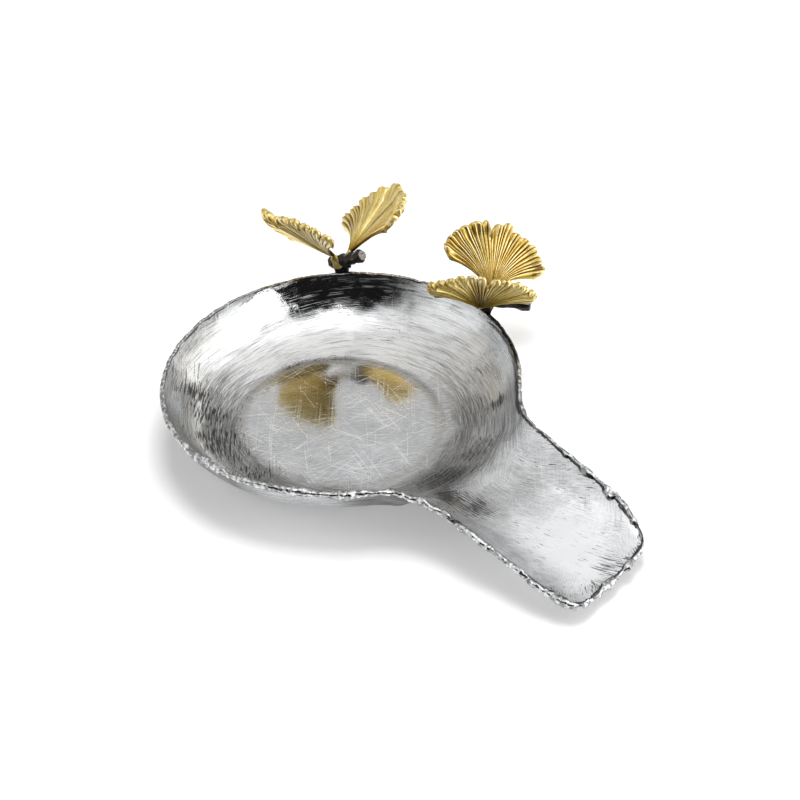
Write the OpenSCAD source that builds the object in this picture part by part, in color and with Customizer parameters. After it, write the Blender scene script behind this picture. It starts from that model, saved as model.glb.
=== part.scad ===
// Spoon rest: a shallow oval bowl with a trough handle, a lumpy bead along its edge
// and two butterflies with fan-shaped wings sitting on the back of the rim.
// Units: millimetres. Origin: centre of the flat base. +X runs out along the handle, +Z is up.

/* [Bowl] */
// Half-length of the bowl along the handle, at the edge
bowl_half_length = 65.5; // [60:0.5:76]
// Half-width of the bowl across the handle, at the edge
bowl_half_width = 71.5; // [66:0.5:82]
// Radius of the flat floor
floor_radius = 40; // [34:1:44]
// Height of the sheet's edge round the bowl
rim_height = 23.5; // [20:0.5:28]
// Thickness of the sheet
sheet = 1.8; // [1.4:0.1:2.2]
// Share of the wall's rise that is a straight slope, which leaves a crease round the floor
wall_slope = 0.2; // [0:0.05:0.3]
// How far the wall's curve would run past the edge, as a share of its width
wall_overrun = 1.05; // [1.03:0.01:1.1]

/* [Handle] */
// Reach of the handle's tip from the middle of the bowl
handle_reach = 138.5; // [125:0.5:160]
// Half of the handle's width
handle_half_width = 28; // [24:0.5:32]
// Squareness of the tip
tip_power = 8; // [5:1:12]
// Slant of the tip, as length gained across the width
tip_slant = -0.1; // [-0.25:0.05:0.25]
// Tightness of the turn from the rim into the handle's sides
root_power = 5.5; // [4.5:0.5:9]
// Height of the trough's bed where it leaves the bowl
bed_root = 12.5; // [10:0.5:15]
// Height of the trough's bed at the tip
bed_tip = 6; // [4:0.5:8]
// Height of the trough's sides where they leave the rim
side_root = 24.5; // [23:0.5:28]
// Height of the trough's sides at the tip
side_tip = 10; // [8.5:0.5:13]
// Flatness of the trough's bed across its width
bed_power = 3; // [2:0.5:4]
// Rounding of the ridge between the bowl and the trough
ridge_round = 5; // [3:0.5:7]
// How far the bowl's wall runs out under the handle's root, as a share of the bowl
root_reach = 1.1; // [1.05:0.01:1.15]

/* [Edge bead] */
// Half of the bead's width, before its lumps
bead_half_width = 1.3; // [1.2:0.1:1.8]
// Height of the bead off the sheet's edge, before its lumps
bead_height = 1.9; // [1.6:0.1:2.6]
// Height of the lumps, as a share of the bead
bead_lump = 0.16; // [0:0.02:0.2]
// Gap between the bead and the sheet's edge
bead_seat = 0.04; // [0.02:0.01:0.1]

/* [Butterflies] */
// Place of the left butterfly round the rim, in degrees from the handle
left_place = 133.5; // [128:0.5:146]
// Place of the right butterfly round the rim, in degrees from the handle
right_place = 82; // [76:0.5:92]
// Height of the left twig over the sheet's edge
left_lift = 5.8; // [5.4:0.1:7]
// Height of the right twig over the sheet's edge
right_lift = 5.2; // [5:0.1:6]
// Compass turn and rise of the left twig, in degrees
left_twig_turn = [7, 33]; // [0:1:40]
// Compass turn and rise of the right twig, in degrees
right_twig_turn = [31, 0]; // [0:1:40]
// Lengths of the left twig on its tail side and its head side
left_twig_ends = [6.5, 12.5]; // [6:0.5:20]
// Lengths of the right twig on its tail side and its head side
right_twig_ends = [17, 18]; // [6:0.5:20]
// Radius of a twig
twig_radius = 2.5; // [2.2:0.1:2.6]
// Depth of the knots along a twig, as a share of its radius
twig_knot = 0.1; // [0:0.02:0.14]
// Places of the inner and the outer wing's pegs along a twig, from the middle of its seat
peg_places = [-2.2, 1.3]; // [-3:0.1:2]

/* [Wings] */
// Radius of the left butterfly's wings
left_radius = 34.5; // [28:0.5:36]
// Radius of the right butterfly's wings
right_radius = 29; // [26:0.5:34]
// Compass turn, rise and roll of the left inner wing, in degrees
left_inner_turn = [226.5, 37.5, 36.5]; // [-60:0.5:330]
// Compass turn, rise and roll of the left outer wing, in degrees
left_outer_turn = [91.5, 31, -38]; // [-60:0.5:330]
// Compass turn, rise and roll of the right inner wing, in degrees
right_inner_turn = [313, 56.5, -3.5]; // [-60:0.5:330]
// Compass turn, rise and roll of the right outer wing, in degrees
right_outer_turn = [128, 33, 26]; // [-60:0.5:330]
// Root of the left inner wing from its peg's end in the twig: along the wing, across it and off its face
left_inner_root = [4.2, 2.6, 0.3]; // [-5:0.1:5]
// Root of the left outer wing from its peg's end in the twig: along the wing, across it and off its face
left_outer_root = [4, 0, 0]; // [-5:0.1:5]
// Root of the right inner wing from its peg's end in the twig: along the wing, across it and off its face
right_inner_root = [0, 0, -3.8]; // [-5:0.1:5]
// Root of the right outer wing from its peg's end in the twig: along the wing, across it and off its face
right_outer_root = [4, 0, 0]; // [-5:0.1:5]
// Slant of the outermost ribs where they leave the root, in degrees
rib_root_turn = 45; // [20:1:60]
// Slant of the outermost ribs at the wing's edge, in degrees
rib_edge_turn = 84; // [70:1:100]
// Thickness of a wing
wing_thickness = 1.3; // [1:0.1:1.6]
// Hollow of a wing, as a share of its radius
wing_cup = 0.02; // [0:0.02:0.1]
// Ribs on a wing
wing_ribs = 13; // [7:2:15]
// Height of a rib at the wing's edge
rib_height = 0.5; // [0.2:0.05:0.6]
// Depth of the scallops between the ribs, as a share of the radius
scallop = 0.06; // [0:0.01:0.1]
// Depth of the notch in a wing's edge, as a share of the radius
notch = 0.16; // [0:0.02:0.24]
// Place of the notch across the wing, as a share of its half-width
notch_place = 0.08; // [-0.5:0.02:0.5]
// Radius of a wing's peg
peg_radius = 1.1; // [0.9:0.05:1.2]
// Depth of a peg past the twig's axis
peg_depth = 0.6; // [0.3:0.1:0.9]
// Longest lap of a peg along its wing, past the root
peg_overlap = 2.6; // [2:0.1:3]
// Gap all round a peg in its hole
peg_gap = 0.06; // [0.04:0.01:0.12]

/* [Saddles] */
// Radius of the saddle under each twig
saddle_radius = 3.6; // [3.4:0.1:4]
// Depth of a saddle's cheek below the sheet's edge, on the outside
cheek_depth = 3.6; // [3.2:0.1:4]
// Gap between a saddle and the bead
saddle_gap = 0.15; // [0.1:0.05:0.3]
// Radius of a rivet
rivet_radius = 0.7; // [0.5:0.05:0.8]
// Depth of a rivet below the sheet's edge
rivet_drop = 2.1; // [1.9:0.1:2.3]
// Gap all round a rivet in its hole
rivet_gap = 0.05; // [0.03:0.01:0.08]
// Reach of a saddle over the rim, past the middle of the sheet
saddle_reach = 0.6; // [0.4:0.1:1]
// Place round the rim where the left inner wing's foot meets the bead, in degrees from the handle
foot_place = 134.5; // [134:0.5:136]
// Shift of the foot's end towards the bowl, off the middle of the bead
foot_shift = 0.8; // [0:0.1:1]
// Radius of the foot where it meets the bead
foot_radius = 0.9; // [0.7:0.05:1]

/* [Hidden] */
stations = 144;
rows = 16;
outline_steps = 720;
step = 0.05;
root_turn = 70;
wall_blend = 2;
handle_lines = [36, 66];
handle_row_power = 1.3;
fan_gather = 1.2;
fan_gather_width = 40;
inner_bed_rise = 20;
bead_sides = 8;
lump_waves = [[17, 0.5, 0], [29, 0.3, 70], [47, 0.2, 25]];
rib_steps = 5;
fan_rows = 9;
fan_start = 0.02;
fan_shoulder = 0.06;
fan_corner = 0.18;
fan_corner_power = 12;
fan_middle = 0.001;
notch_width = 0.06;
twig_steps = 24;
twig_knots = 3.5;
twig_chamfer = 0.5;
round_steps = 48;
slack = 20;
wall_angle = asin(1 / wall_overrun);
wall_full = 1 - cos(wall_angle);
wall_rise = rim_height - sheet;
slot_half_width = bead_half_width * (1 + bead_lump) + saddle_gap;
slot_top = bead_seat + bead_height * (1 + bead_lump) + saddle_gap;
left_seat = [left_place, left_lift, left_twig_turn];
left_inner = [left_inner_turn, left_inner_root, peg_places[0]];
left_outer = [left_outer_turn, left_outer_root, peg_places[1]];
right_seat = [right_place, right_lift, right_twig_turn];
right_inner = [right_inner_turn, right_inner_root, peg_places[0]];
right_outer = [right_outer_turn, right_outer_root, peg_places[1]];

nickel = [0.78, 0.78, 0.77];
gilt = [0.8, 0.63, 0.28];
bronze = [0.17, 0.15, 0.15];

// Plan outline of the bowl, of the handle's tongue, and of the two run together, as a radius at an angle
function bowl_r(t) = bowl_half_length * bowl_half_width
    / norm([bowl_half_width * cos(t), bowl_half_length * sin(t)]);
function tongue_r(t) = cos(t) <= 0 ? handle_half_width
    : pow(pow(abs(cos(t) - tip_slant * sin(t)) / handle_reach, tip_power)
        + pow(abs(sin(t)) / handle_half_width, tip_power), -1 / tip_power);
function edge_r(t) = pow(pow(bowl_r(t), root_power) + pow(tongue_r(t), root_power), 1 / root_power);
function at_angle(r, t) = [r * cos(t), r * sin(t)];
function edge_xy(t) = at_angle(edge_r(t), t);

// Angles of the stations, evenly spaced along the outline
outline_length = [for (i = 0, s = 0; i <= outline_steps;
    s = s + norm(edge_xy(360 * (i + 1) / outline_steps) - edge_xy(360 * i / outline_steps)), i = i + 1)
    [s, 360 * i / outline_steps]];
root_outline = [for (t = [0:root_turn]) edge_xy(t)];
function station_angle(j) =
    lookup(outline_length[outline_steps][0] * (j % stations) / stations, outline_length);

// Floor end of a station's line: lines that lead to the handle start spread apart
function signed(t) = t > 180 ? t - 360 : t;
function floor_angle(t) = signed(t) * (1 + fan_gather * exp(-pow(signed(t) / fan_gather_width, 2)));

// Inside surface: the lower of the bowl and the trough, blended along the ridge
function mix(a, b, u) = a + (b - a) * u;
function clamp(u) = min(max(u, 0), 1);
function soft_min(a, b, k) = let (u = clamp((b - a + k) / (2 * k))) mix(b, a, u) - k * u * (1 - u);
function wall_r(t) = soft_min(edge_r(t), root_reach * bowl_r(t), wall_blend);
function wall_q(r, t) = clamp((r - floor_radius) / (wall_r(t) - floor_radius));
function wall_curve(q) = (1 - sqrt(1 - pow(q / wall_overrun, 2))) / wall_full;
function bowl_z(r, t) = let (q = wall_q(r, t)) sheet + wall_rise * mix(wall_curve(q), q, wall_slope);
function along_handle(x) = (x - bowl_half_length) / (handle_reach - bowl_half_length);
function trough_half_width(x) = max(lookup(x, root_outline), handle_half_width);
function trough_z(x, y) = let (u = along_handle(x),
    bed = mix(bed_root, bed_tip, u), side = mix(side_root, side_tip, u))
    mix(bed, side, pow(abs(y) / trough_half_width(x), bed_power)) + inner_bed_rise * pow(min(u, 0), 2);
function surface_z(p) = soft_min(bowl_z(norm(p), atan2(p.y, p.x)), trough_z(p.x, p.y), ridge_round);

// Points of the inside surface along a station's line, close together where the wall is steep
function row_share(u, l) = mix(wall_overrun * sin(wall_angle * u), pow(u, handle_row_power),
    clamp((l - handle_lines[0]) / (handle_lines[1] - handle_lines[0])));
function inside_point(t, u) = let (a = at_angle(floor_radius, floor_angle(t)), b = edge_xy(t),
    p = mix(a, b, row_share(u, norm(b - a)))) [p.x, p.y, u == 0 ? sheet : surface_z(p)];
function unit(v) = v / norm(v);
function inside_normal(t, u) = u == 0 ? [0, 0, 1]
    : unit(cross(inside_point(t, u) - inside_point(t, u - step),
        inside_point(t + step, u) - inside_point(t - step, u)));
function outside_point(t, u) = inside_point(t, u) - sheet * inside_normal(t, u);

// Edge of the sheet at an angle: its middle, the way across it, the way along it and the way out of it
function edge_across(t) = -inside_normal(t, 1);
function edge_middle(t) = inside_point(t, 1) + edge_across(t) * sheet / 2;
function edge_along(t) = unit(inside_point(t + step, 1) - inside_point(t - step, 1));
function edge_out(t) = cross(edge_across(t), edge_along(t));

// Triangles between two neighbouring points each of two lines
function strip(a, b, c, d) = [[a, b, c], [a, c, d]];

module dish_sheet() {
    turns = [for (j = [0:stations - 1]) station_angle(j)];
    inside = [for (i = [0:rows]) for (t = turns) inside_point(t, i / rows)];
    outside = [for (i = [0:rows]) for (t = turns) outside_point(t, i / rows)];
    far = len(inside);
    function at(i, j) = i * stations + j % stations;
    walls = [for (i = [0:rows - 1]) for (j = [0:stations - 1])
        let (a = at(i, j), b = at(i + 1, j), c = at(i + 1, j + 1), d = at(i, j + 1))
        each concat(strip(a, d, c, b), strip(far + a, far + b, far + c, far + d))];
    edges = [for (j = [0:stations - 1]) let (b = at(rows, j), c = at(rows, j + 1))
        each strip(b, c, far + c, far + b)];
    floors = [[for (j = [stations - 1:-1:0]) j], [for (j = [0:stations - 1]) far + j]];
    polyhedron(concat(inside, outside), concat(walls, edges, floors), convexity = 6);
}

module dish() {
    color(nickel)
    difference() {
        dish_sheet();
        on_rim(left_place) rivet_hole();
        on_rim(right_place) rivet_hole();
    }
}

// Swell of the bead's lumps at a share of the way round
function lump_at(u, w) = w[1] * sin(360 * w[0] * u + w[2]);
function lump(u) = 1 + bead_lump
    * (lump_at(u, lump_waves[0]) + lump_at(u, lump_waves[1]) + lump_at(u, lump_waves[2]));
function bead_point(j, k) = let (t = station_angle(j), a = 180 * k / (bead_sides - 1), s = lump(j / stations))
    edge_middle(t) + edge_across(t) * bead_half_width * s * cos(a)
    + edge_out(t) * (bead_seat + bead_height * s * sin(a));

module rim_bead() {
    function at(j, k) = (j % stations) * bead_sides + k % bead_sides;
    points = [for (j = [0:stations - 1]) for (k = [0:bead_sides - 1]) bead_point(j, k)];
    faces = [for (j = [0:stations - 1]) for (k = [0:bead_sides - 1])
        each strip(at(j, k), at(j, k + 1), at(j + 1, k + 1), at(j + 1, k))];
    color(nickel)
    polyhedron(points, faces, convexity = 6);
}

// Frame of a butterfly's seat on the rim: X out through the sheet, Z out along it
function seat_compass(t) = atan2(edge_across(t).y, edge_across(t).x);
function seat_lean(t) = atan2(norm([edge_out(t).x, edge_out(t).y]), edge_out(t).z);
function twig_middle(seat) = edge_middle(seat[0]) + edge_out(seat[0]) * seat[1];

// Frame of a wing: X along it, Y across it and Z off its face, with its peg's end and its root
function heading(turn) = [cos(turn[1]) * cos(turn[0]), cos(turn[1]) * sin(turn[0]), sin(turn[1])];
function level(turn) = [-sin(turn[0]), cos(turn[0]), 0];
function turned(v, turn) = let (x = heading(turn), y = level(turn), z = cross(x, y), roll = turn[2])
    x * v.x + (y * cos(roll) + z * sin(roll)) * v.y + (z * cos(roll) - y * sin(roll)) * v.z;
function peg_end(seat, wing) = twig_middle(seat) + heading(seat[2]) * wing[2];
function wing_root(seat, wing) = peg_end(seat, wing) + turned(wing[1], wing[0]);

module on_rim(place) {
    translate(edge_middle(place))
    rotate([0, seat_lean(place), seat_compass(place)])
    children();
}

module rivet_hole() {
    translate([0, 0, -rivet_drop])
    rotate([0, 90, 0])
    cylinder(r = rivet_radius + rivet_gap, h = 2 * slack, center = true, $fn = round_steps);
}

// Rivet from the outside of the saddle's cheek to the inside of the sheet
module rivet(place) {
    outer = sqrt(pow(saddle_radius, 2) - pow(rivet_radius, 2));
    color(bronze)
    on_rim(place)
    translate([-sheet / 2, 0, -rivet_drop])
    rotate([0, 90, 0])
    cylinder(r = rivet_radius, h = sheet / 2 + outer, $fn = round_steps);
}

// Stick along +X with a few knots and chamfered ends
function stick_radius(u) = twig_radius * (1 + twig_knot * sin(360 * twig_knots * u));
module stick(ends) {
    length = ends[0] + ends[1];
    tail = [[0, 0], [stick_radius(0) - twig_chamfer, 0]];
    bark = [for (i = [0:twig_steps]) let (u = i / twig_steps)
        [stick_radius(u), mix(twig_chamfer, length - twig_chamfer, u)]];
    head = [[stick_radius(1) - twig_chamfer, length], [0, length]];
    rotate([0, 90, 0])
    translate([0, 0, -ends[0]])
    rotate_extrude($fn = round_steps) polygon(concat(tail, bark, head));
}

// Room for the bead and the sheet, open to the inside of the bowl
module saddle_slot() {
    translate([slot_half_width - slack, -slack, slot_top - slack])
    cube([slack, 2 * slack, slack]);
}

// Saddle from its cheek outside the sheet up to the twig, kept clear of the bowl's side
module saddle(lift) {
    difference() {
        translate([0, 0, -cheek_depth])
        cylinder(r = saddle_radius, h = cheek_depth + lift, $fn = round_steps);
        translate([-saddle_reach - slack, -slack, -slack])
        cube([slack, 2 * slack, 2 * slack]);
    }
}

// Round rod between two points
module rod(from, to, from_radius, to_radius) {
    way = to - from;
    translate(from)
    rotate([0, acos(way.z / norm(way)), atan2(way.y, way.x)])
    cylinder(r1 = from_radius, r2 = to_radius, h = norm(way), $fn = round_steps);
}

// Peg from inside the twig into a wing's root, or with a gap the hole for it
function peg_lap(root) = min(peg_overlap, wing_thickness * norm(root) / abs(root.z) / 3);
module peg(seat, wing, gap) {
    root = wing_root(seat, wing);
    way = unit(root - peg_end(seat, wing));
    rod(peg_end(seat, wing) - way * (peg_depth + gap), root + way * peg_lap(wing[1]),
        peg_radius + gap, peg_radius + gap);
}

// Foot from the left inner wing's root down to the bead, or with a gap the groove for it
module left_foot(gap) {
    end = edge_middle(foot_place) + edge_out(foot_place) * (slot_top - gap)
        - edge_across(foot_place) * foot_shift;
    rod(wing_root(left_seat, left_inner), end, peg_radius + gap, foot_radius + gap);
}

// Twig with its saddle, less the room for the bead, the rivet, the pegs and any children
module twig(seat, ends, inner, outer) {
    color(bronze)
    difference() {
        union() {
            translate(twig_middle(seat))
            rotate([0, -seat[2][1], seat[2][0]])
            stick(ends);
            on_rim(seat[0]) saddle(seat[1]);
        }
        on_rim(seat[0]) saddle_slot();
        on_rim(seat[0]) rivet_hole();
        peg(seat, inner, peg_gap);
        peg(seat, outer, peg_gap);
        children();
    }
}

// Fan in the XY plane, opening along +X from its root. Each rib is an arc that turns outwards.
function fan_r(f) = (1 - fan_shoulder * pow(f, 2) - fan_corner * pow(abs(f), fan_corner_power))
    * (1 - notch * exp(-pow((f - notch_place) / notch_width, 2)))
    * (1 - scallop * (1 - abs(sin(90 * wing_ribs * (f + 1)))));
function rib_point(u, f) = let (from = rib_root_turn * f, turn = (rib_edge_turn - rib_root_turn) * f)
    [sin(from + turn * u) - sin(from), cos(from) - cos(from + turn * u)] * fan_r(f) / (2 * sin(turn / 2));
function fan_point(u, f) = let (p = rib_point(mix(fan_start, 1, u), abs(f) < fan_middle ? fan_middle : f))
    [p.x, p.y, wing_cup * pow(norm(p), 2)];
function rib_z(u, f) = -rib_height * u * cos(180 * wing_ribs * (f + 1));

module fan(radius) {
    steps = rib_steps * wing_ribs;
    across = steps + 1;
    shares = [for (j = [0:steps]) 2 * j / steps - 1];
    top = [for (i = [0:fan_rows]) for (f = shares)
        fan_point(i / fan_rows, f) * radius + [0, 0, rib_z(i / fan_rows, f) + wing_thickness / 2]];
    bottom = [for (p = top) p - [0, 0, wing_thickness]];
    far = len(top);
    function at(i, j) = i * across + j;
    skins = [for (i = [0:fan_rows - 1]) for (j = [0:steps - 1])
        let (a = at(i, j), b = at(i + 1, j), c = at(i + 1, j + 1), d = at(i, j + 1))
        each concat(strip(a, d, c, b), strip(far + a, far + b, far + c, far + d))];
    rims = [for (j = [0:steps - 1])
        let (a = at(0, j), d = at(0, j + 1), b = at(fan_rows, j), c = at(fan_rows, j + 1))
        each concat(strip(b, c, far + c, far + b), strip(d, a, far + a, far + d))];
    sides = [for (i = [0:fan_rows - 1])
        let (a = at(i, 0), b = at(i + 1, 0), d = at(i, steps), c = at(i + 1, steps))
        each concat(strip(a, b, far + b, far + a), strip(c, d, far + d, far + c))];
    polyhedron(concat(top, bottom), concat(skins, rims, sides), convexity = 6);
}

module wing(seat, wing, radius) {
    color(gilt) {
        peg(seat, wing, 0);
        translate(wing_root(seat, wing))
        rotate([wing[0][2], -wing[0][1], wing[0][0]])
        fan(radius);
        children();
    }
}

module left_twig() twig(left_seat, left_twig_ends, left_inner, left_outer) left_foot(peg_gap);
module left_inner_wing() wing(left_seat, left_inner, left_radius) left_foot(0);
module left_outer_wing() wing(left_seat, left_outer, left_radius);
module left_rivet() rivet(left_place);
module right_twig() twig(right_seat, right_twig_ends, right_inner, right_outer);
module right_inner_wing() wing(right_seat, right_inner, right_radius);
module right_outer_wing() wing(right_seat, right_outer, right_radius);
module right_rivet() rivet(right_place);

dish();
rim_bead();
left_twig();
left_inner_wing();
left_outer_wing();
left_rivet();
right_twig();
right_inner_wing();
right_outer_wing();
right_rivet();
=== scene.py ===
"""Spoon rest: a shallow metal bowl with a trough handle and two leaf-winged butterflies on its rim.

Run as a script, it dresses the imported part. Each piece is modelled in the part's own frame, in metres.
"""

import math
from collections import namedtuple

import bpy
import numpy as np
from mathutils import Euler, Matrix, Quaternion, Vector, noise


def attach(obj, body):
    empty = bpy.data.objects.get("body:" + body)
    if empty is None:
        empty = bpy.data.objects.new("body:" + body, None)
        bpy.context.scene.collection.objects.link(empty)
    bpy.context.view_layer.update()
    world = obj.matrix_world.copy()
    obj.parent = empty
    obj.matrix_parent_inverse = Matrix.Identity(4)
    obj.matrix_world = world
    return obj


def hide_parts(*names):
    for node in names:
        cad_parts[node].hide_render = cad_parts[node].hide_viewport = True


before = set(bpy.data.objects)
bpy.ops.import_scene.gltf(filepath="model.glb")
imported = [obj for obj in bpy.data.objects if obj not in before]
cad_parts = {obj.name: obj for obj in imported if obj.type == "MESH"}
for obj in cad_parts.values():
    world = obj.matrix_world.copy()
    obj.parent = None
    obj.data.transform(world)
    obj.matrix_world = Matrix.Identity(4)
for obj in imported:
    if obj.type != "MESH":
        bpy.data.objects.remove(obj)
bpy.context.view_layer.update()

bl_info = {
    "name": "Spoon Rest",
    "version": (1, 0, 0),
    "blender": (4, 5, 0),
    "location": "3D Viewport > Sidebar > Spoon Rest",
    "description": "Models a spoon rest with a trough handle and two butterflies",
    "category": "Add Mesh",
}

Wing = namedtuple("Wing", "kind turn root peg shade")
Butterfly = namedtuple("Butterfly", "name place lift twig_turn tail head radius wings")

# Places round the rim and turns (compass, rise and roll) are in degrees, the rest in metres.
# A wing's root lies off its peg's end in the twig: along the wing, across it and off its face.
# Its shade is painted shade: how much darker the gold is towards its root.
LEFT_WINGS = (
    Wing("inner", (226.5, 37.5, 36.5), (0.0042, 0.0026, 0.0003), -0.0022, 0.0),
    Wing("outer", (91.5, 31, -38), (0.004, 0, 0), 0.0013, 0.0),
)
RIGHT_WINGS = (
    Wing("inner", (313, 56.5, -3.5), (0, 0, -0.0038), -0.0022, 0.6),
    Wing("outer", (128, 33, 26), (0.004, 0, 0), 0.0013, 0.0),
)
BUTTERFLIES = (
    Butterfly("left", 133.5, 0.0058, (7, 33), 0.0065, 0.0125, 0.0345, LEFT_WINGS),
    Butterfly("right", 82, 0.0052, (31, 0), 0.017, 0.018, 0.029, RIGHT_WINGS),
)

# Where the left inner wing's foot meets the bead: place round the rim, rise over the sheet, shift inwards
FOOT_PLACE = 134.5
FOOT_RISE = 0.0024
FOOT_SHIFT = 0.0008

# Steps of the meshes
AROUND = 480
FLOOR_RINGS = 10
WALL_RINGS = 46
BEAD_AROUND = 2000
BEAD_SIDES = 18
FAN_ACROSS = 312
FAN_LOOP = 112
STALK_STEPS = 24
OUTLINE_STEPS = 720

# Points closer than this are joined, and faces that meet at less than this angle are shaded as one
MERGE_DISTANCE = 1e-6
SMOOTH_ANGLE = math.radians(50)

# Fixed habits of the dish's surface, the same as the part's own
SMALL_TURN = math.radians(0.05)
SMALL_SHARE = 0.05
ROOT_TURN = 70
WALL_BLEND = 0.002
HANDLE_LINES = (0.036, 0.066)
HANDLE_ROW_POWER = 1.3
FLOOR_GATHER = 1.2
FLOOR_GATHER_TURN = math.radians(40)
INNER_BED_RISE = 0.020

# Length of a brush line round the wall, for its width, and how far some of them climb
BRUSH_STRETCH = 20
BRUSH_SLANT = 0.25


def length(name, description, default):
    """A length that the panel shows in the scene's units."""
    return bpy.props.FloatProperty(
        name=name, description=description, default=default, unit="LENGTH", precision=4
    )


def share(name, description, default):
    """A plain number without a unit."""
    return bpy.props.FloatProperty(name=name, description=description, default=default, precision=3)


def count(name, description, default):
    """A whole number of repeats."""
    return bpy.props.IntProperty(name=name, description=description, default=default, min=1)


def angle(name, description, degrees):
    """An angle, given in degrees."""
    turn = math.radians(degrees)
    return bpy.props.FloatProperty(name=name, description=description, default=turn, subtype="ANGLE")


def power(name, description, default):
    """A lamp's power, in watts."""
    return bpy.props.FloatProperty(name=name, description=description, default=default, unit="POWER")


def colour(name, description, default):
    """A colour, in linear light."""
    return bpy.props.FloatVectorProperty(
        name=name, description=description, default=default, size=4, subtype="COLOR", min=0, max=1
    )


class DishSizes(bpy.types.PropertyGroup):
    """Sizes of the bowl and its trough handle."""

    bowl_half_length: length("Bowl half-length", "Half of the bowl along the handle, at the edge", 0.0655)
    bowl_half_width: length("Bowl half-width", "Half of the bowl across the handle, at the edge", 0.0715)
    floor_radius: length("Floor radius", "Radius of the flat floor", 0.040)
    rim_height: length("Rim height", "Height of the sheet's edge round the bowl", 0.0235)
    sheet: length("Sheet", "Thickness of the metal", 0.0018)
    wall_slope: share("Wall slope", "Share of the wall's rise that is a straight slope", 0.2)
    wall_overrun: share("Wall overrun", "How far the wall's curve would run past the edge", 1.05)
    handle_reach: length("Handle reach", "Reach of the tip from the middle of the bowl", 0.1385)
    handle_half_width: length("Handle half-width", "Half of the handle's width", 0.028)
    tip_power: share("Tip squareness", "Squareness of the handle's tip", 8)
    tip_slant: share("Tip slant", "Slant of the tip, as length gained across the width", -0.1)
    root_power: share("Root tightness", "Tightness of the turn from the rim into the handle", 5.5)
    bed_root: length("Bed at the root", "Height of the trough's bed where it leaves the bowl", 0.0125)
    bed_tip: length("Bed at the tip", "Height of the trough's bed at the tip", 0.006)
    side_root: length("Side at the root", "Height of the trough's sides where they leave the rim", 0.0245)
    side_tip: length("Side at the tip", "Height of the trough's sides at the tip", 0.010)
    bed_power: share("Bed flatness", "Flatness of the trough's bed across its width", 3)
    ridge_round: length("Ridge rounding", "Rounding of the ridge between bowl and trough", 0.005)
    root_reach: share("Root reach", "How far the wall runs out under the handle's root", 1.1)
    dent_depth: length("Dent depth", "Depth of the hammered dents in the wall and the handle", 0.00022)
    dent_size: length("Dent size", "Breadth of the hammered dents", 0.011)


class BeadSizes(bpy.types.PropertyGroup):
    """Sizes of the lumpy bead along the edge."""

    half_width: length("Half-width", "Half of the bead's width, before its lumps", 0.0012)
    top: length("Top", "Height of the bead over the sheet's edge", 0.0016)
    wrap: length("Wrap", "How far the bead runs down over the sheet", 0.0008)
    calm: share("Calm side", "Size of the lumps at the back of the bowl, for those at the front", 0.2)
    lump: length("Lump height", "Height of the melted lumps", 0.0008)
    lump_size: length("Lump size", "Breadth of the melted lumps", 0.0028)
    lump_stretch: share("Lump stretch", "Length of a lump along the edge, for its breadth", 3.4)
    burst: length("Burst", "Length of a stretch with large lumps", 0.011)
    drip: length("Drip height", "Height of the few large drips", 0.0018)
    drip_size: length("Drip size", "Breadth of the large drips", 0.0050)
    wander: length("Wander", "How far the bead strays from the edge's line", 0.0004)


class WingSizes(bpy.types.PropertyGroup):
    """Sizes of a fan-shaped wing."""

    root_turn: angle("Root slant", "Slant of the outermost ribs at the root", 45)
    edge_turn: angle("Edge slant", "Slant of the outermost ribs at the edge", 84)
    neck_half_width: length("Neck half-width", "Half of the fan's width at its root", 0.0014)
    thickness: length("Thickness", "Thickness of the fan", 0.0012)
    edge_thickness: length("Edge thickness", "Thickness of the lobes' rounded ends", 0.0022)
    cup: share("Cup", "Hollow of the fan, as a share of its radius", 0.02)
    wave: share("Wave", "Waves across the fan, as a share of its radius", 0.05)
    fold: share("Fold", "Depth of the fold behind the split, as a share of the radius", 0.04)
    shoulder: share("Shoulder", "How much shorter the fan is at its sides, as a share of the radius", 0.06)
    corner: share("Corner", "Rounding of the fan's corners, as a share of the radius", 0.18)
    lobes: count("Lobes", "Lobes along the fan's edge", 13)
    lobe_depth: share("Lobe depth", "Depth of the gaps between lobes, as a share of the radius", 0.055)
    uneven: share("Uneven lobes", "How much the lobes differ in length, as a share of the radius", 0.07)
    pleat: length("Pleat", "Height of a lobe's pleat at the edge", 0.0006)
    ribs: count("Ribs", "Fine ribs on the fan", 33)
    rib_height: length("Rib height", "Height of a fine rib", 0.0008)
    curl: length("Curl", "Rise of the lobes' ends", 0.0013)
    split: share("Split", "Depth of the split in the fan, as a share of the radius", 0.16)
    split_place: share("Split place", "Place of the split across the fan, from -1 to 1", 0.08)
    peg_radius: length("Peg radius", "Radius of the peg that goes into the twig", 0.0011)
    peg_lap: length("Peg lap", "How far a peg runs on past the fan's root", 0.0008)
    foot_half_width: length("Foot half-width", "Half of the foot from the left inner wing to the rim", 0.0015)
    foot_bow: length("Foot bow", "How far the foot bows towards the bowl", 0.0012)


class TwigSizes(bpy.types.PropertyGroup):
    """Sizes of the dark twigs and the rivets."""

    grain: length("Grain", "Size of the cells that round a twig's corners", 0.00028)
    bark: length("Bark", "Depth of the bark's furrows", 0.00035)
    furrow: length("Furrow", "Breadth of the bark's furrows", 0.0016)
    rivet_dome: length("Rivet dome", "Rise of a rivet's rounded head", 0.0004)


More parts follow.
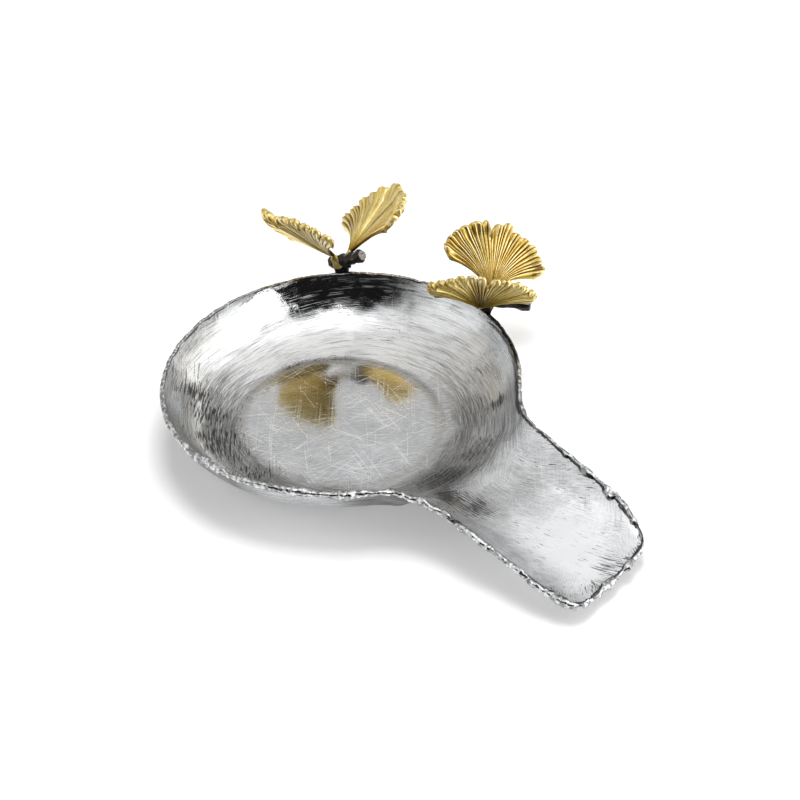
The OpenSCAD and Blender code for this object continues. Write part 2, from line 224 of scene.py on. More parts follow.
class Finishes(bpy.types.PropertyGroup):
    """Colours of the three metals."""

    nickel: colour("Nickel", "Brushed plating", (0.89, 0.90, 0.911, 1))
    # Nickel shade is also the colour that the painted shade and reflection in the plating's tone lean towards
    nickel_shade: colour("Nickel shade", "Plating between the brush lines", (0.24, 0.24, 0.24, 1))
    # Tarnish is also the colour of the painted shade under the bead, at the ridge and in the bead's corner
    tarnish: colour("Tarnish", "Dark film in the creases and pits", (0.035, 0.035, 0.036, 1))
    # Light gilt is the painted highlight on the wings' crests
    gilt_highlight: colour("Light gilt", "Gold of the wings' sharpest crests", (0.97, 0.86, 0.54, 1))
    gilt: colour("Gilt", "Gold of the wings", (0.84, 0.64, 0.21, 1))
    # Gilt shade is the painted shade in the wings' furrows
    gilt_shade: colour("Gilt shade", "Gold in the wings' furrows", (0.30, 0.19, 0.015, 1))
    bronze: colour("Bronze", "Oxidised twigs", (0.045, 0.042, 0.043, 1))
    bronze_warm: colour("Warm bronze", "Rubbed places on the twigs", (0.22, 0.15, 0.11, 1))
    cut_end: colour("Cut end", "Bright cut ends of the twigs", (0.30, 0.28, 0.26, 1))


class StageSizes(bpy.types.PropertyGroup):
    """Camera, lamps and floor."""

    azimuth: angle("Azimuth", "Turn of the camera", 44)
    elevation: angle("Elevation", "Height of the camera as an angle", 39)
    distance: length("Distance", "Distance of the camera from the middle of the base", 1.1)
    aim_right: length("Aim right", "How far right of the base's middle the camera looks", 0.02329)
    aim_up: length("Aim up", "How far over the base's middle the camera looks", 0.00966)
    roll: angle("Roll", "Tilt of the camera's frame", 0.965)
    lens: bpy.props.FloatProperty(
        name="Lens", description="Focal length, in millimetres", default=125.18, unit="CAMERA"
    )
    floor: length("Floor", "Side of the floor", 6.0)
    sky: share("Sky", "Strength of the light from all round", 0.35)
    key: power("Key", "Power of the lamp that casts the shadow", 10.5)
    side: power("Side", "Power of the lamp to the right", 7.6)
    top: power("Top", "Power of the lamp overhead", 2.6)


class SpoonRestSettings(bpy.types.PropertyGroup):
    """All sizes and colours that the panel shows."""

    dish: bpy.props.PointerProperty(type=DishSizes)
    bead: bpy.props.PointerProperty(type=BeadSizes)
    wing: bpy.props.PointerProperty(type=WingSizes)
    twig: bpy.props.PointerProperty(type=TwigSizes)
    finish: bpy.props.PointerProperty(type=Finishes)
    stage: bpy.props.PointerProperty(type=StageSizes)


# Shape helpers


def unit(v):
    """Vectors along the last axis, made one long."""
    return v / np.linalg.norm(v, axis=-1, keepdims=True)


def mix(a, b, u):
    """The value a share u of the way from a to b."""
    return a + (b - a) * u


def smooth_step(low, high, x):
    """0 below low, 1 above high and a smooth rise between them."""
    u = np.clip((x - low) / (high - low), 0, 1)
    return u * u * (3 - 2 * u)


def bell(away, width):
    """1 at no distance away, fading over a width."""
    return np.exp(-((away / width) ** 2))


def soft_min(a, b, k):
    """The lower of two heights, rounded over a width k where they meet."""
    u = np.clip((b - a + k) / (2 * k), 0, 1)
    return mix(b, a, u) - k * u * (1 - u)


def lumps(points, size, shift=0.0):
    """Smooth random values from about -1 to 1, one per point, with features of the given size."""
    return np.array([noise.noise(Vector(p) / size + Vector((shift, -shift, shift))) for p in points])


class DishForm:
    """The inside of the dish as a surface: rim outline, wall, floor and trough."""

    def __init__(self, sizes):
        self.sizes = sizes
        self.turns = np.linspace(0, 2 * np.pi, OUTLINE_STEPS + 1)
        edge = self.edge(self.turns)
        run = np.concatenate([[0], np.cumsum(np.linalg.norm(np.diff(edge, axis=0), axis=1))])
        self.perimeter = run[-1]
        self.shares = run / run[-1]
        self.root = self.edge(np.radians(np.arange(ROOT_TURN, -1, -1)))

    def bowl_radius(self, turn):
        """Radius of the oval bowl at a turn."""
        s = self.sizes
        spread = np.hypot(s.bowl_half_width * np.cos(turn), s.bowl_half_length * np.sin(turn))
        return s.bowl_half_length * s.bowl_half_width / spread

    def edge_radius(self, turn):
        """Radius of the edge, the bowl and the handle's tongue run together."""
        s = self.sizes
        ahead = np.abs(np.cos(turn) - s.tip_slant * np.sin(turn)) / s.handle_reach
        aside = np.abs(np.sin(turn)) / s.handle_half_width
        tongue = (ahead**s.tip_power + aside**s.tip_power) ** (-1 / s.tip_power)
        tongue = np.where(np.cos(turn) > 0, tongue, s.handle_half_width)
        return (self.bowl_radius(turn) ** s.root_power + tongue**s.root_power) ** (1 / s.root_power)

    def edge(self, turn):
        """Plan points of the edge."""
        return self.edge_radius(turn)[..., None] * np.stack([np.cos(turn), np.sin(turn)], axis=-1)

    def turn_at(self, shares):
        """Turns at even shares of the way along the edge."""
        return np.interp(shares % 1, self.shares, self.turns)

    def floor_turn(self, turn):
        """Turn at which a line to the edge leaves the floor: lines to the handle start spread apart."""
        signed = np.where(turn > np.pi, turn - 2 * np.pi, turn)
        return signed * (1 + FLOOR_GATHER * bell(signed, FLOOR_GATHER_TURN))

    def bowl_height(self, x, y):
        """Height of the bowl's wall, before the trough cuts it."""
        s = self.sizes
        turn = np.arctan2(y, x)
        wall = soft_min(self.edge_radius(turn), s.root_reach * self.bowl_radius(turn), WALL_BLEND)
        q = np.clip((np.hypot(x, y) - s.floor_radius) / (wall - s.floor_radius), 0, 1)
        full = 1 - math.sqrt(1 - s.wall_overrun**-2)
        curve = (1 - np.sqrt(1 - (q / s.wall_overrun) ** 2)) / full
        return s.sheet + (s.rim_height - s.sheet) * mix(curve, q, s.wall_slope)

    def trough_height(self, x, y):
        """Height of the trough, carried on into the bowl."""
        s = self.sizes
        u = (x - s.bowl_half_length) / (s.handle_reach - s.bowl_half_length)
        half = np.maximum(np.interp(x, self.root[:, 0], self.root[:, 1]), s.handle_half_width)
        bed = mix(s.bed_root, s.bed_tip, u)
        side = mix(s.side_root, s.side_tip, u)
        return mix(bed, side, (np.abs(y) / half) ** s.bed_power) + INNER_BED_RISE * np.minimum(u, 0) ** 2

    def height(self, x, y):
        """Height of the inside surface."""
        return soft_min(self.bowl_height(x, y), self.trough_height(x, y), self.sizes.ridge_round)

    def inside(self, turn, along):
        """Inside points on the lines from the floor's edge (along 0) to the rim (along 1)."""
        s = self.sizes
        leave = self.floor_turn(turn)
        start = s.floor_radius * np.stack([np.cos(leave), np.sin(leave)], axis=-1)
        way = self.edge(turn) - start
        handle = (np.linalg.norm(way, axis=-1) - HANDLE_LINES[0]) / (HANDLE_LINES[1] - HANDLE_LINES[0])
        close = s.wall_overrun * np.sin(math.asin(1 / s.wall_overrun) * along)
        row = mix(close, np.maximum(along, 0) ** HANDLE_ROW_POWER, np.clip(handle, 0, 1))
        plan = start + way * row[..., None]
        height = np.where(along <= 0, s.sheet, self.height(plan[..., 0], plan[..., 1]))
        return np.concatenate([plan, height[..., None]], axis=-1)

    def edge_frame(self, turn):
        """Middle of the sheet's edge and the ways across it, along it and out of it."""
        one = np.ones_like(turn)
        here = self.inside(turn, one)
        down = here - self.inside(turn, one - SMALL_SHARE)
        ahead = self.inside(turn + SMALL_TURN, one) - self.inside(turn - SMALL_TURN, one)
        across = -unit(np.cross(down, ahead))
        along = unit(ahead)
        return here + across * self.sizes.sheet / 2, across, along, np.cross(across, along)


# Mesh helpers


def deselect():
    """Leaves nothing selected, in object mode."""
    if bpy.context.object and bpy.context.object.mode != "OBJECT":
        bpy.ops.object.mode_set(mode="OBJECT")
    bpy.ops.object.select_all(action="DESELECT")


def name_new(name):
    """Names the object that an operator has just added."""
    obj = bpy.context.object
    obj.name = name
    obj.data.name = name
    return obj


def read_points(obj):
    """The mesh's points as an array."""
    points = np.empty(len(obj.data.vertices) * 3)
    obj.data.vertices.foreach_get("co", points)
    return points.reshape(-1, 3)


def write_points(obj, points):
    """Puts the mesh's points in place."""
    obj.data.vertices.foreach_set("co", np.ascontiguousarray(points, dtype=np.float64).ravel())
    obj.data.update()


def read_normals(obj):
    """The mesh's point normals as an array."""
    normals = np.empty(len(obj.data.vertices) * 3, dtype=np.float32)
    obj.data.vertex_normals.foreach_get("vector", normals)
    return normals.reshape(-1, 3).astype(np.float64)


def paint(obj, name, values):
    """Keeps one number per point as an attribute that a material can read."""
    attribute = obj.data.attributes.new(name, "FLOAT", "POINT")
    attribute.data.foreach_set("value", np.ascontiguousarray(values, dtype=np.float32))


def paint_vectors(obj, name, values):
    """Keeps one vector per point as an attribute that a material can read."""
    attribute = obj.data.attributes.new(name, "FLOAT_VECTOR", "POINT")
    attribute.data.foreach_set("vector", np.ascontiguousarray(values, dtype=np.float32).ravel())


def new_grid(name, across, along):
    """Adds a flat grid and gives its points' shares of the way across and along."""
    deselect()
    bpy.ops.mesh.primitive_grid_add(x_subdivisions=across, y_subdivisions=along, size=1)
    obj = name_new(name)
    points = read_points(obj)
    return obj, points[:, 0] + 0.5, points[:, 1] + 0.5


def edit_all(obj, *steps):
    """Runs edit-mode steps on all of the mesh."""
    deselect()
    bpy.context.view_layer.objects.active = obj
    obj.select_set(True)
    bpy.ops.object.mode_set(mode="EDIT")
    bpy.ops.mesh.select_all(action="SELECT")
    for step in steps:
        step()
    bpy.ops.object.mode_set(mode="OBJECT")


def close_seams(obj):
    """Joins the points that lie on each other and turns the faces one way."""
    edit_all(
        obj,
        lambda: bpy.ops.mesh.remove_doubles(threshold=MERGE_DISTANCE),
        lambda: bpy.ops.mesh.normals_make_consistent(inside=False),
    )


def apply_modifier(obj, kind, **settings):
    """Adds a modifier, sets it and applies it."""
    deselect()
    bpy.context.view_layer.objects.active = obj
    obj.select_set(True)
    modifier = obj.modifiers.new(kind.title(), kind)
    for key, value in settings.items():
        setattr(modifier, key, value)
    bpy.ops.object.modifier_apply(modifier=modifier.name)


def finish_piece(obj, nodes, material):
    """Shades a piece, gives it its finish and ties it to the part's frame."""
    deselect()
    bpy.context.view_layer.objects.active = obj
    obj.select_set(True)
    bpy.ops.object.shade_smooth_by_angle(angle=SMOOTH_ANGLE)
    obj.data.materials.clear()
    obj.data.materials.append(material)
    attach(obj, "root")
    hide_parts(*nodes)


# Material helpers


class Shader:
    """Adds and links nodes in one tree."""

    def __init__(self, tree):
        self.tree = tree
        self.tree.nodes.clear()

    def add(self, kind, inputs=None, **settings):
        """A node with its settings, its inputs set to values or linked to sockets."""
        node = self.tree.nodes.new(kind)
        for key, value in settings.items():
            setattr(node, key, value)
        for key, value in (inputs or {}).items():
            if isinstance(value, bpy.types.NodeSocket):
                self.tree.links.new(value, node.inputs[key])
            else:
                node.inputs[key].default_value = value
        return node

    def math(self, operation, a, b=0.0):
        """One sum."""
        return self.add("ShaderNodeMath", {0: a, 1: b}, operation=operation).outputs[0]

    def vector(self, operation, *values):
        """One sum of vectors."""
        return self.add("ShaderNodeVectorMath", dict(enumerate(values)), operation=operation).outputs[0]

    def about(self, value, amount):
        """How far a value lies from a half, times an amount."""
        return self.math("MULTIPLY", self.math("SUBTRACT", value, 0.5), amount)

    def rise(self, value, low, high, start=0.0, end=1.0):
        """A smooth rise from start to end as value goes from low to high."""
        inputs = {"Value": value, "From Min": low, "From Max": high, "To Min": start, "To Max": end}
        return self.add("ShaderNodeMapRange", inputs, interpolation_type="SMOOTHSTEP").outputs[0]

    def between(self, factor, a, b):
        """A value between two values."""
        return self.add("ShaderNodeMix", {0: factor, 2: a, 3: b}).outputs[0]

    def blend(self, factor, a, b):
        """A colour between two colours."""
        return self.add("ShaderNodeMix", {0: factor, 6: a, 7: b}, data_type="RGBA").outputs[2]

    def attribute(self, name, output="Fac"):
        """A value that the mesh carries."""
        return self.add("ShaderNodeAttribute", attribute_name=name).outputs[output]

    def place(self):
        """Place on the object, in metres."""
        return self.add("ShaderNodeTexCoord").outputs["Object"]

    def cloud(self, vector, size, detail=2.0):
        """Soft random values with features of the given size."""
        inputs = {"Vector": vector, "Scale": 1 / size, "Detail": detail}
        return self.add("ShaderNodeTexNoise", inputs).outputs["Fac"]

    def group(self, group, inputs):
        """A shared effect's first output, by its named inputs."""
        return self.add("ShaderNodeGroup", inputs, node_tree=group).outputs[0]


SOCKETS = {"vector": "NodeSocketVector", "value": "NodeSocketFloat"}


def new_group(name, inputs, outputs):
    """An empty shared effect with named sockets, and its shader, input and output."""
    group = bpy.data.node_groups.new(name, "ShaderNodeTree")
    for way, sockets in (("INPUT", inputs), ("OUTPUT", outputs)):
        for key, kind in sockets.items():
            group.interface.new_socket(name=key, in_out=way, socket_type=SOCKETS[kind])
    shader = Shader(group)
    return group, shader, shader.add("NodeGroupInput").outputs, shader.add("NodeGroupOutput")


def brush_lines():
    """Fine lines along a vector's first axis, longer than wide by the stretch."""
    name = "brush_lines"
    if name in bpy.data.node_groups:
        return bpy.data.node_groups[name]
    sockets = {"Vector": "vector", "Turn": "value", "Stretch": "value", "Width": "value", "Detail": "value"}
    group, s, given, out = new_group(name, sockets, {"Lines": "value"})
    swing = {"Vector": given["Vector"], "Angle": given["Turn"]}
    swung = s.add("ShaderNodeVectorRotate", swing, rotation_type="Z_AXIS").outputs[0]
    shorter = s.math("DIVIDE", 1.0, given["Stretch"])
    squeeze = s.add("ShaderNodeCombineXYZ", {0: shorter, 1: 1.0, 2: 1.0}).outputs[0]
    laid = s.vector("MULTIPLY", swung, squeeze)
    scale = s.math("DIVIDE", 1.0, given["Width"])
    lines = s.add("ShaderNodeTexNoise", {"Vector": laid, "Scale": scale, "Detail": given["Detail"]})
    s.tree.links.new(lines.outputs["Fac"], out.inputs["Lines"])
    return group


def new_material(name):
    """An empty material and its shader."""
    material = bpy.data.materials.new(name)
    material.use_nodes = True
    return material, Shader(material.node_tree)


def close_material(s, base, roughness, height, depth, facing=None):
    """Ends a metal's tree in its shader: colour, roughness, bumps and, where given, the way it faces."""
    relief = {"Height": height, "Distance": depth, "Strength": 1.0}
    if facing:
        relief["Normal"] = facing
    bump = s.add("ShaderNodeBump", relief).outputs[0]
    inputs = {"Base Color": base, "Roughness": roughness, "Metallic": 1.0, "Normal": bump}
    shader = s.add("ShaderNodeBsdfPrincipled", inputs)
    s.add("ShaderNodeOutputMaterial", {"Surface": shader.outputs[0]})


# Nickel

# Strokes of a brush: their turn in radians, their length for their width, their width in metres
# and their detail
Strokes = namedtuple("Strokes", "turn stretch width detail")

TROUGH_STROKES = (Strokes(-0.30, 12.0, 0.0005, 2.0), Strokes(0.75, 9.0, 0.0004, 2.0))
FLOOR_STROKES = (Strokes(-0.75, 12.0, 0.00036, 2.0), Strokes(-1.25, 10.0, 0.0004, 2.0))
# On the wall the mesh carries the way of the strokes, already stretched
WALL_STROKES = (Strokes(0.0, 1.0, 0.0004, 2.0), Strokes(0.0, 1.0, 0.00055, 2.0))
SCUFF_STROKES = Strokes(0.0, 1.0, 0.00045, 2.0)
DARK_STROKES = Strokes(0.8, 9.0, 0.0007, 3.0)

# Turns of the sets of scratches in radians, and length for its width and width of a scratch
# and of the places where they gather
SCRATCH_TURNS = (-0.15, -0.4, -0.65, -0.9, -1.15, -1.4, -1.6, 0.3, 0.8)
SCRATCH_STRETCH = 60.0
SCRATCH_WIDTH = 0.00055
GATHER_STRETCH = 1.5
GATHER_WIDTH = 0.009

# How far strokes and scratches sway, and over what length, in metres
STROKE_SWAY = 0.012
SCRATCH_SWAY = 0.005
SWAY_LENGTH = 0.035

# Sizes of the sweeps, the soft clouds, the fine grain, the scuffed places and the dents in the polish,
# in metres
SWEEP_SIZE = 0.020
CLOUD_SIZE = 0.016
GRAIN_SIZE = 0.0005
SCUFF_SIZE = 0.009
POLISH_DENT_SIZE = 0.0028

# Contrast of the brush lines, the clouds, the grain, the scratches and the edge of the dark film and painted
# shade
LINE_CONTRAST = {"floor": 1.1, "wall": 3.4, "trough": 1.3}
CLOUD_CONTRAST = {"bowl": 0.35, "trough": 0.9}
GRAIN_CONTRAST = 0.3
SCRATCH_CONTRAST = 0.25
FILM_AND_SHADE_CONTRAST = 3.4
# How much of the plating the dark film and painted shade hide
FILM_AND_SHADE_COVER = 0.88

# How much rougher brush lines, scuffs and scratches are
LINE_ROUGH = 0.2
SCUFF_ROUGH = 0.36
SCRATCH_ROUGH = 0.144

# Height of a scratch and of a dent in the polish, for a brush line's, which is given in metres
SCRATCH_HEIGHT = 0.3
POLISH_DENT_HEIGHT = 5.0
LINE_HEIGHT = 0.000018


def strokes(s, vector, kind):
    """Brush strokes of one kind along a vector."""
    names = ("Vector", "Turn", "Stretch", "Width", "Detail")
    return s.group(brush_lines(), dict(zip(names, (vector, *kind))))


def swayed(s, amount):
    """A flat place that sways, so that a stroke drawn on it is long and curves."""
    flat = s.vector("MULTIPLY", s.place(), (1, 1, 0))
    inputs = {"Vector": flat, "Scale": 1 / SWAY_LENGTH, "Detail": 0.0}
    sway = s.add("ShaderNodeTexNoise", inputs).outputs["Color"]
    return s.vector("MULTIPLY_ADD", sway, (amount, amount, 0), flat)


def brush_strokes(s, bent):
    """The brush's lines: round the wall, and swept two ways on the floor and in the trough."""
    swept = s.rise(s.cloud(s.place(), SWEEP_SIZE), 0.38, 0.62)
    in_trough = s.between(swept, *(strokes(s, bent, kind) for kind in TROUGH_STROKES))
    on_floor = s.between(swept, *(strokes(s, bent, kind) for kind in FLOOR_STROKES))
    ways = (s.attribute("lay", "Vector"), s.attribute("slant", "Vector"))
    on_wall = s.between(0.5, *(strokes(s, way, kind) for way, kind in zip(ways, WALL_STROKES)))
    return s.between(s.attribute("trough"), s.between(s.attribute("wall"), on_floor, on_wall), in_trough)


def scratches(s):
    """Fine scratches across the floor, fainter on the wall."""
    steady = swayed(s, SCRATCH_SWAY)
    marks = 0.0
    for turn in SCRATCH_TURNS:
        # Each set of scratches has a level of its own, so that they gather in different places
        level = s.vector("ADD", steady, (0, 0, turn))
        gathered = s.rise(strokes(s, level, Strokes(turn, GATHER_STRETCH, GATHER_WIDTH, 0.0)), 0.40, 0.58)
        scratch = s.rise(strokes(s, level, Strokes(turn, SCRATCH_STRETCH, SCRATCH_WIDTH, 0.0)), 0.66, 0.76)
        marks = s.math("ADD", s.math("MULTIPLY", scratch, gathered), marks)
    return s.math("MULTIPLY", marks, s.rise(s.attribute("wall"), 0.0, 1.0, 1.0, 0.3))


def plate_colour(s, finish, bent, brushed, marks):
    """Pale plating with darker lines and painted shade and reflection in its tone, and the dark film and
    painted shade over it.
    """
    trough = s.attribute("trough")
    in_bowl = s.between(s.attribute("wall"), LINE_CONTRAST["floor"], LINE_CONTRAST["wall"])
    lines = s.about(brushed, s.between(trough, in_bowl, LINE_CONTRAST["trough"]))
    grain = s.about(s.cloud(s.place(), GRAIN_SIZE, 1.0), GRAIN_CONTRAST)
    cloudy = s.between(trough, CLOUD_CONTRAST["bowl"], CLOUD_CONTRAST["trough"])
    clouds = s.about(s.cloud(s.place(), CLOUD_SIZE), cloudy)
    tone = s.attribute("tone")
    for change in (lines, grain, clouds, s.math("MULTIPLY", marks, SCRATCH_CONTRAST)):
        tone = s.math("ADD", tone, change)
    plate = s.blend(tone, tuple(finish.nickel_shade), tuple(finish.nickel))
    scrawl = s.between(s.attribute("crossed"), brushed, strokes(s, bent, DARK_STROKES))
    # Dark film and painted shade, with a ragged edge of dark strokes
    film_and_shade = s.rise(s.math("ADD", s.attribute("tarnish"), s.about(scrawl, FILM_AND_SHADE_CONTRAST)), 0.52, 0.80)
    return s.blend(s.math("MULTIPLY", film_and_shade, FILM_AND_SHADE_COVER), plate, tuple(finish.tarnish))


def plate_roughness(s, brushed, marks):
    """How rough the plating is: brushed, and more so where it is scuffed or scratched."""
    scuffs = s.rise(strokes(s, s.attribute("slant", "Vector"), SCUFF_STROKES), 0.52, 0.62)
    scuffed = s.rise(s.cloud(s.place(), SCUFF_SIZE), 0.42, 0.56)
    scuffs = s.math("MULTIPLY", s.math("MULTIPLY", scuffs, s.attribute("wall")), scuffed)
    scratched = s.math("MULTIPLY", marks, SCRATCH_ROUGH)
    worn = s.math("MAXIMUM", s.math("MULTIPLY", scuffs, SCUFF_ROUGH), scratched)
    return s.math("ADD", s.math("ADD", s.attribute("satin"), s.about(brushed, LINE_ROUGH)), worn)


def plate_height(s, brushed, marks):
    """Height of the lines and scratches, and of the dents that make the polish mirror raggedly."""
    dents = s.math("MULTIPLY", s.cloud(s.place(), POLISH_DENT_SIZE, 3.0), s.attribute("polished"))
    height = s.math("ADD", brushed, s.math("MULTIPLY", marks, SCRATCH_HEIGHT))
    return s.math("ADD", height, s.math("MULTIPLY", dents, POLISH_DENT_HEIGHT))


def nickel_finish(finish):
    """Hand-brushed plating: lines round the wall, scratches across the floor, dark film in the creases, and
    painted shade and reflection.
    """
    material, s = new_material("brushed_nickel")
    bent = swayed(s, STROKE_SWAY)
    brushed = brush_strokes(s, bent)
    marks = scratches(s)
    base = plate_colour(s, finish, bent, brushed, marks)
    rough = plate_roughness(s, brushed, marks)
    height = plate_height(s, brushed, marks)
    facing = s.vector("ADD", s.add("ShaderNodeNewGeometry").outputs["Normal"], s.attribute("lean", "Vector"))
    close_material(s, base, rough, height, LINE_HEIGHT, facing)
    return material


# Bead: size of its specks, their contrast in the dark film and painted shade, how much these hide,
# and size and height of its grain
BEAD_SPECK_SIZE = 0.0016
BEAD_SPECK_CONTRAST = 0.9
BEAD_FILM_AND_SHADE_COVER = 0.92
BEAD_GRAIN_SIZE = 0.0011
BEAD_GRAIN_HEIGHT = 0.00014


def bead_finish(finish):
    """Melted plating on the edge: bright lumps, dark pits, and painted shade in its corner and on a stretch
    near the right butterfly.
    """
    material, s = new_material("melted_nickel")
    place = s.place()
    speck = s.cloud(place, BEAD_SPECK_SIZE, 3.0)
    film_and_shade = s.rise(s.math("ADD", s.attribute("pit"), s.about(speck, BEAD_SPECK_CONTRAST)), 0.4, 0.75)
    plate = s.blend(s.rise(speck, 0.35, 0.7), tuple(finish.nickel_shade), tuple(finish.nickel))
    base = s.blend(s.math("MULTIPLY", film_and_shade, BEAD_FILM_AND_SHADE_COVER), plate, tuple(finish.tarnish))
    rough = s.rise(speck, 0.3, 0.7, 0.14, 0.32)
    close_material(s, base, rough, s.cloud(place, BEAD_GRAIN_SIZE), BEAD_GRAIN_HEIGHT)
    return material


# Gold and bronze

# Gold: sizes of its grain, patches and veins, their contrast, the height of its grain and veins
# as shares of its relief, and its relief in metres
GILT_GRAIN_SIZE = 0.0007
GILT_PATCH_SIZE = 0.006
GILT_VEIN_SIZE = 0.0008
GILT_CONTRAST = (0.45, 0.3, 1.1)
GILT_GRAIN_HEIGHT = 0.6
GILT_VEIN_HEIGHT = 1.2
GILT_RELIEF = 0.00014

# Bronze: size of its specks, their contrast on the ridges and their height
BRONZE_SPECK_SIZE = 0.0011
BRONZE_SPECK_CONTRAST = 1.4
BRONZE_SPECK_HEIGHT = 0.00022


def gilt_finish(finish):
    """Cast gold: painted highlight on the crests, painted shade in the furrows, fine veins and a fine grain.
    """
    material, s = new_material("cast_gilt")
    place = s.place()
    grain = s.cloud(place, GILT_GRAIN_SIZE, 3.0)
    patch = s.cloud(place, GILT_PATCH_SIZE)
    vein = s.cloud(s.attribute("vein", "Vector"), GILT_VEIN_SIZE)
    depth = s.attribute("furrow")
    for pattern, contrast in zip((grain, patch, vein), GILT_CONTRAST):
        depth = s.math("ADD", depth, s.about(pattern, contrast))
    # Painted highlight on the crests, painted shade in the furrows
    crest = s.blend(s.rise(depth, -0.15, 0.25), tuple(finish.gilt_highlight), tuple(finish.gilt))
    base = s.blend(s.rise(depth, 0.15, 0.8), crest, tuple(finish.gilt_shade))
    rough = s.rise(grain, 0.3, 0.7, 0.28, 0.40)
    veined = s.math("MULTIPLY", vein, GILT_VEIN_HEIGHT)
    relief = s.math("ADD", s.math("MULTIPLY", grain, GILT_GRAIN_HEIGHT), veined)
    close_material(s, base, rough, relief, GILT_RELIEF)
    return material


def bronze_finish(finish):
    """Oxidised bronze: nearly black, rubbed warm on its ridges, bright where a twig is cut."""
    material, s = new_material("dark_bronze")
    speck = s.cloud(s.place(), BRONZE_SPECK_SIZE, 3.0)
    rubbed = s.math("ADD", s.attribute("ridge"), s.about(speck, BRONZE_SPECK_CONTRAST))
    bark = s.blend(s.rise(rubbed, 0.55, 1.0), tuple(finish.bronze), tuple(finish.bronze_warm))
    fresh = s.math("MULTIPLY", s.attribute("cut"), s.rise(speck, 0.35, 0.6, 0.2, 1.0))
    base = s.blend(fresh, bark, tuple(finish.cut_end))
    rough = s.rise(speck, 0.3, 0.7, 0.24, 0.45)
    close_material(s, base, rough, speck, BRONZE_SPECK_HEIGHT)
    return material


# Dish


def dish_points(form, around, across):
    """Inside points of the dish."""
    s = form.sizes
    turn = form.turn_at(around)
    floor_share = FLOOR_RINGS / (FLOOR_RINGS + WALL_RINGS)
    up = np.clip((across - floor_share) / (1 - floor_share), 0, 1)
    wall = form.inside(turn, up)
    leave = form.floor_turn(turn)
    radius = s.floor_radius * np.clip(across / floor_share, 0, 1)
    floor = np.stack([radius * np.cos(leave), radius * np.sin(leave), np.full_like(radius, s.sheet)], axis=-1)
    return np.where((up > 0)[:, None], wall, floor)


# Marks on the inside. A place is along x and y in metres, and a stretch (a TURN) is its middle
# and its spread round the bowl in degrees.

# Dark patches, partly tarnish and partly painted shade, those at the ridge standing for its dark reflection:
# middle, breadth and strength
TARNISH_AND_SHADE_PATCHES = (
    ((-0.046, -0.034), 0.012, 0.70),
    ((-0.036, -0.037), 0.012, 0.70),
    ((-0.022, -0.046), 0.015, 0.72),
    ((0.002, -0.050), 0.015, 0.62),
    ((0.055, 0.016), 0.014, 0.62),
    ((0.058, -0.004), 0.015, 0.85),
    ((0.079, -0.012), 0.010, 0.85),
    ((0.071, -0.015), 0.009, 0.95),
    ((0.045, 0.041), 0.006, 0.70),
    ((0.024, 0.056), 0.008, 0.50),
    ((-0.021, 0.055), 0.011, 0.42),
    ((0.137, 0.004), 0.008, 0.74),
    ((0.139, -0.009), 0.006, 0.74),
    ((0.131, -0.023), 0.005, 0.56),
)
# Strength of the film on all of the wall, and, out of their stretches and in them, of the film in the crease
# and of the painted shade under the bead
WALL_FILM = 0.12
CREASE_FILM = (0.25, 0.6)
CREASE_FILM_WIDTH = 0.0025
CREASE_TURN = (148, 28)
RIM_SHADE = (0.3, 0.85)
RIM_SHADE_RUN = (0.0006, 0.0015)
RIM_SHADE_TURN = (40, 44)
# Share of dark strokes that cross the brush lines, out of their stretch and in it
CROSSED_SHARE = (0.15, 0.75)
CROSSED_TURN = (-135, 65)

# Where the wall's finish takes over from the floor's: inside of the floor's edge, and past it,
# out of the stretch where the edge fades and in it
WALL_MARGIN = 0.0015
WALL_FADE = (0.003, 0.011)
FADED_TURN = (25, 75)
# Where the trough's finish starts past the bowl, the ridge's along x and the rim's in height
TROUGH_FADE = 0.010
RIDGE_RUN = (0.040, 0.052)
RIM_RUN = (0.004, 0.014)
# Where the floor stops being a mirror, from its edge
MIRROR_RUN = (-0.003, 0.001)

# Roughness of the plating: on the floor, low on the wall, at the rim, on the handle's side of the wall,
# in the trough and where the wall is polished
SATIN = {"floor": 0.09, "ring": 0.60, "rim": 0.27, "ridge": 0.62, "trough": 0.32, "polished": 0.07}
POLISHED_TURN = (146, 34)
# Spot at the floor's back edge that is less of a mirror: middle, breadth and how much rougher it is
DULL_SPOT = ((-0.0215, 0.0265), 0.006, 0.25)

# Lightness of the plating, with painted reflection that darkens the near wall and the ridge and lightens
# the far wall: on the floor, low on the near and the far wall, at the rim, on the handle's side of the wall
# and in the trough
TONE = {"floor": 0.55, "near": 0.06, "far": 0.92, "rim": 0.84, "ridge": 0.10, "trough": 0.72}
# Turn of the far wall round the bowl in degrees, and where it takes over from the near wall,
# as a share of the way
FAR_TURN = 135
FAR_RUN = (0.45, 0.95)
# Painted highlight: how much lighter the ridge is to its right, and where that starts
RIDGE_LIGHT = 0.25
RIDGE_LIGHT_RUN = (0.006, 0.022)
# Painted shade in the crease: how much darker it is at the near and the far wall
CREASE_DARK = (0.15, 0.45)
CREASE_WIDTH = 0.0014
# Painted shade along the trough's near side: how much darker it is, inwards from the edge
TROUGH_SIDE_DARK = 0.25
TROUGH_SIDE_RUN = (0.002, 0.008)
# Near stretch of the wall with a painted dark reflection below the bead and a painted highlight line under
# it, inwards from the edge
NEAR_TURN = (-110, 40)
STRIP_DARK = 0.72
STRIP_RUN = (0.007, 0.011)
PALE_LINE_LIGHT = 0.4
PALE_LINE_PLACE = 0.0125
PALE_LINE_WIDTH = 0.0013
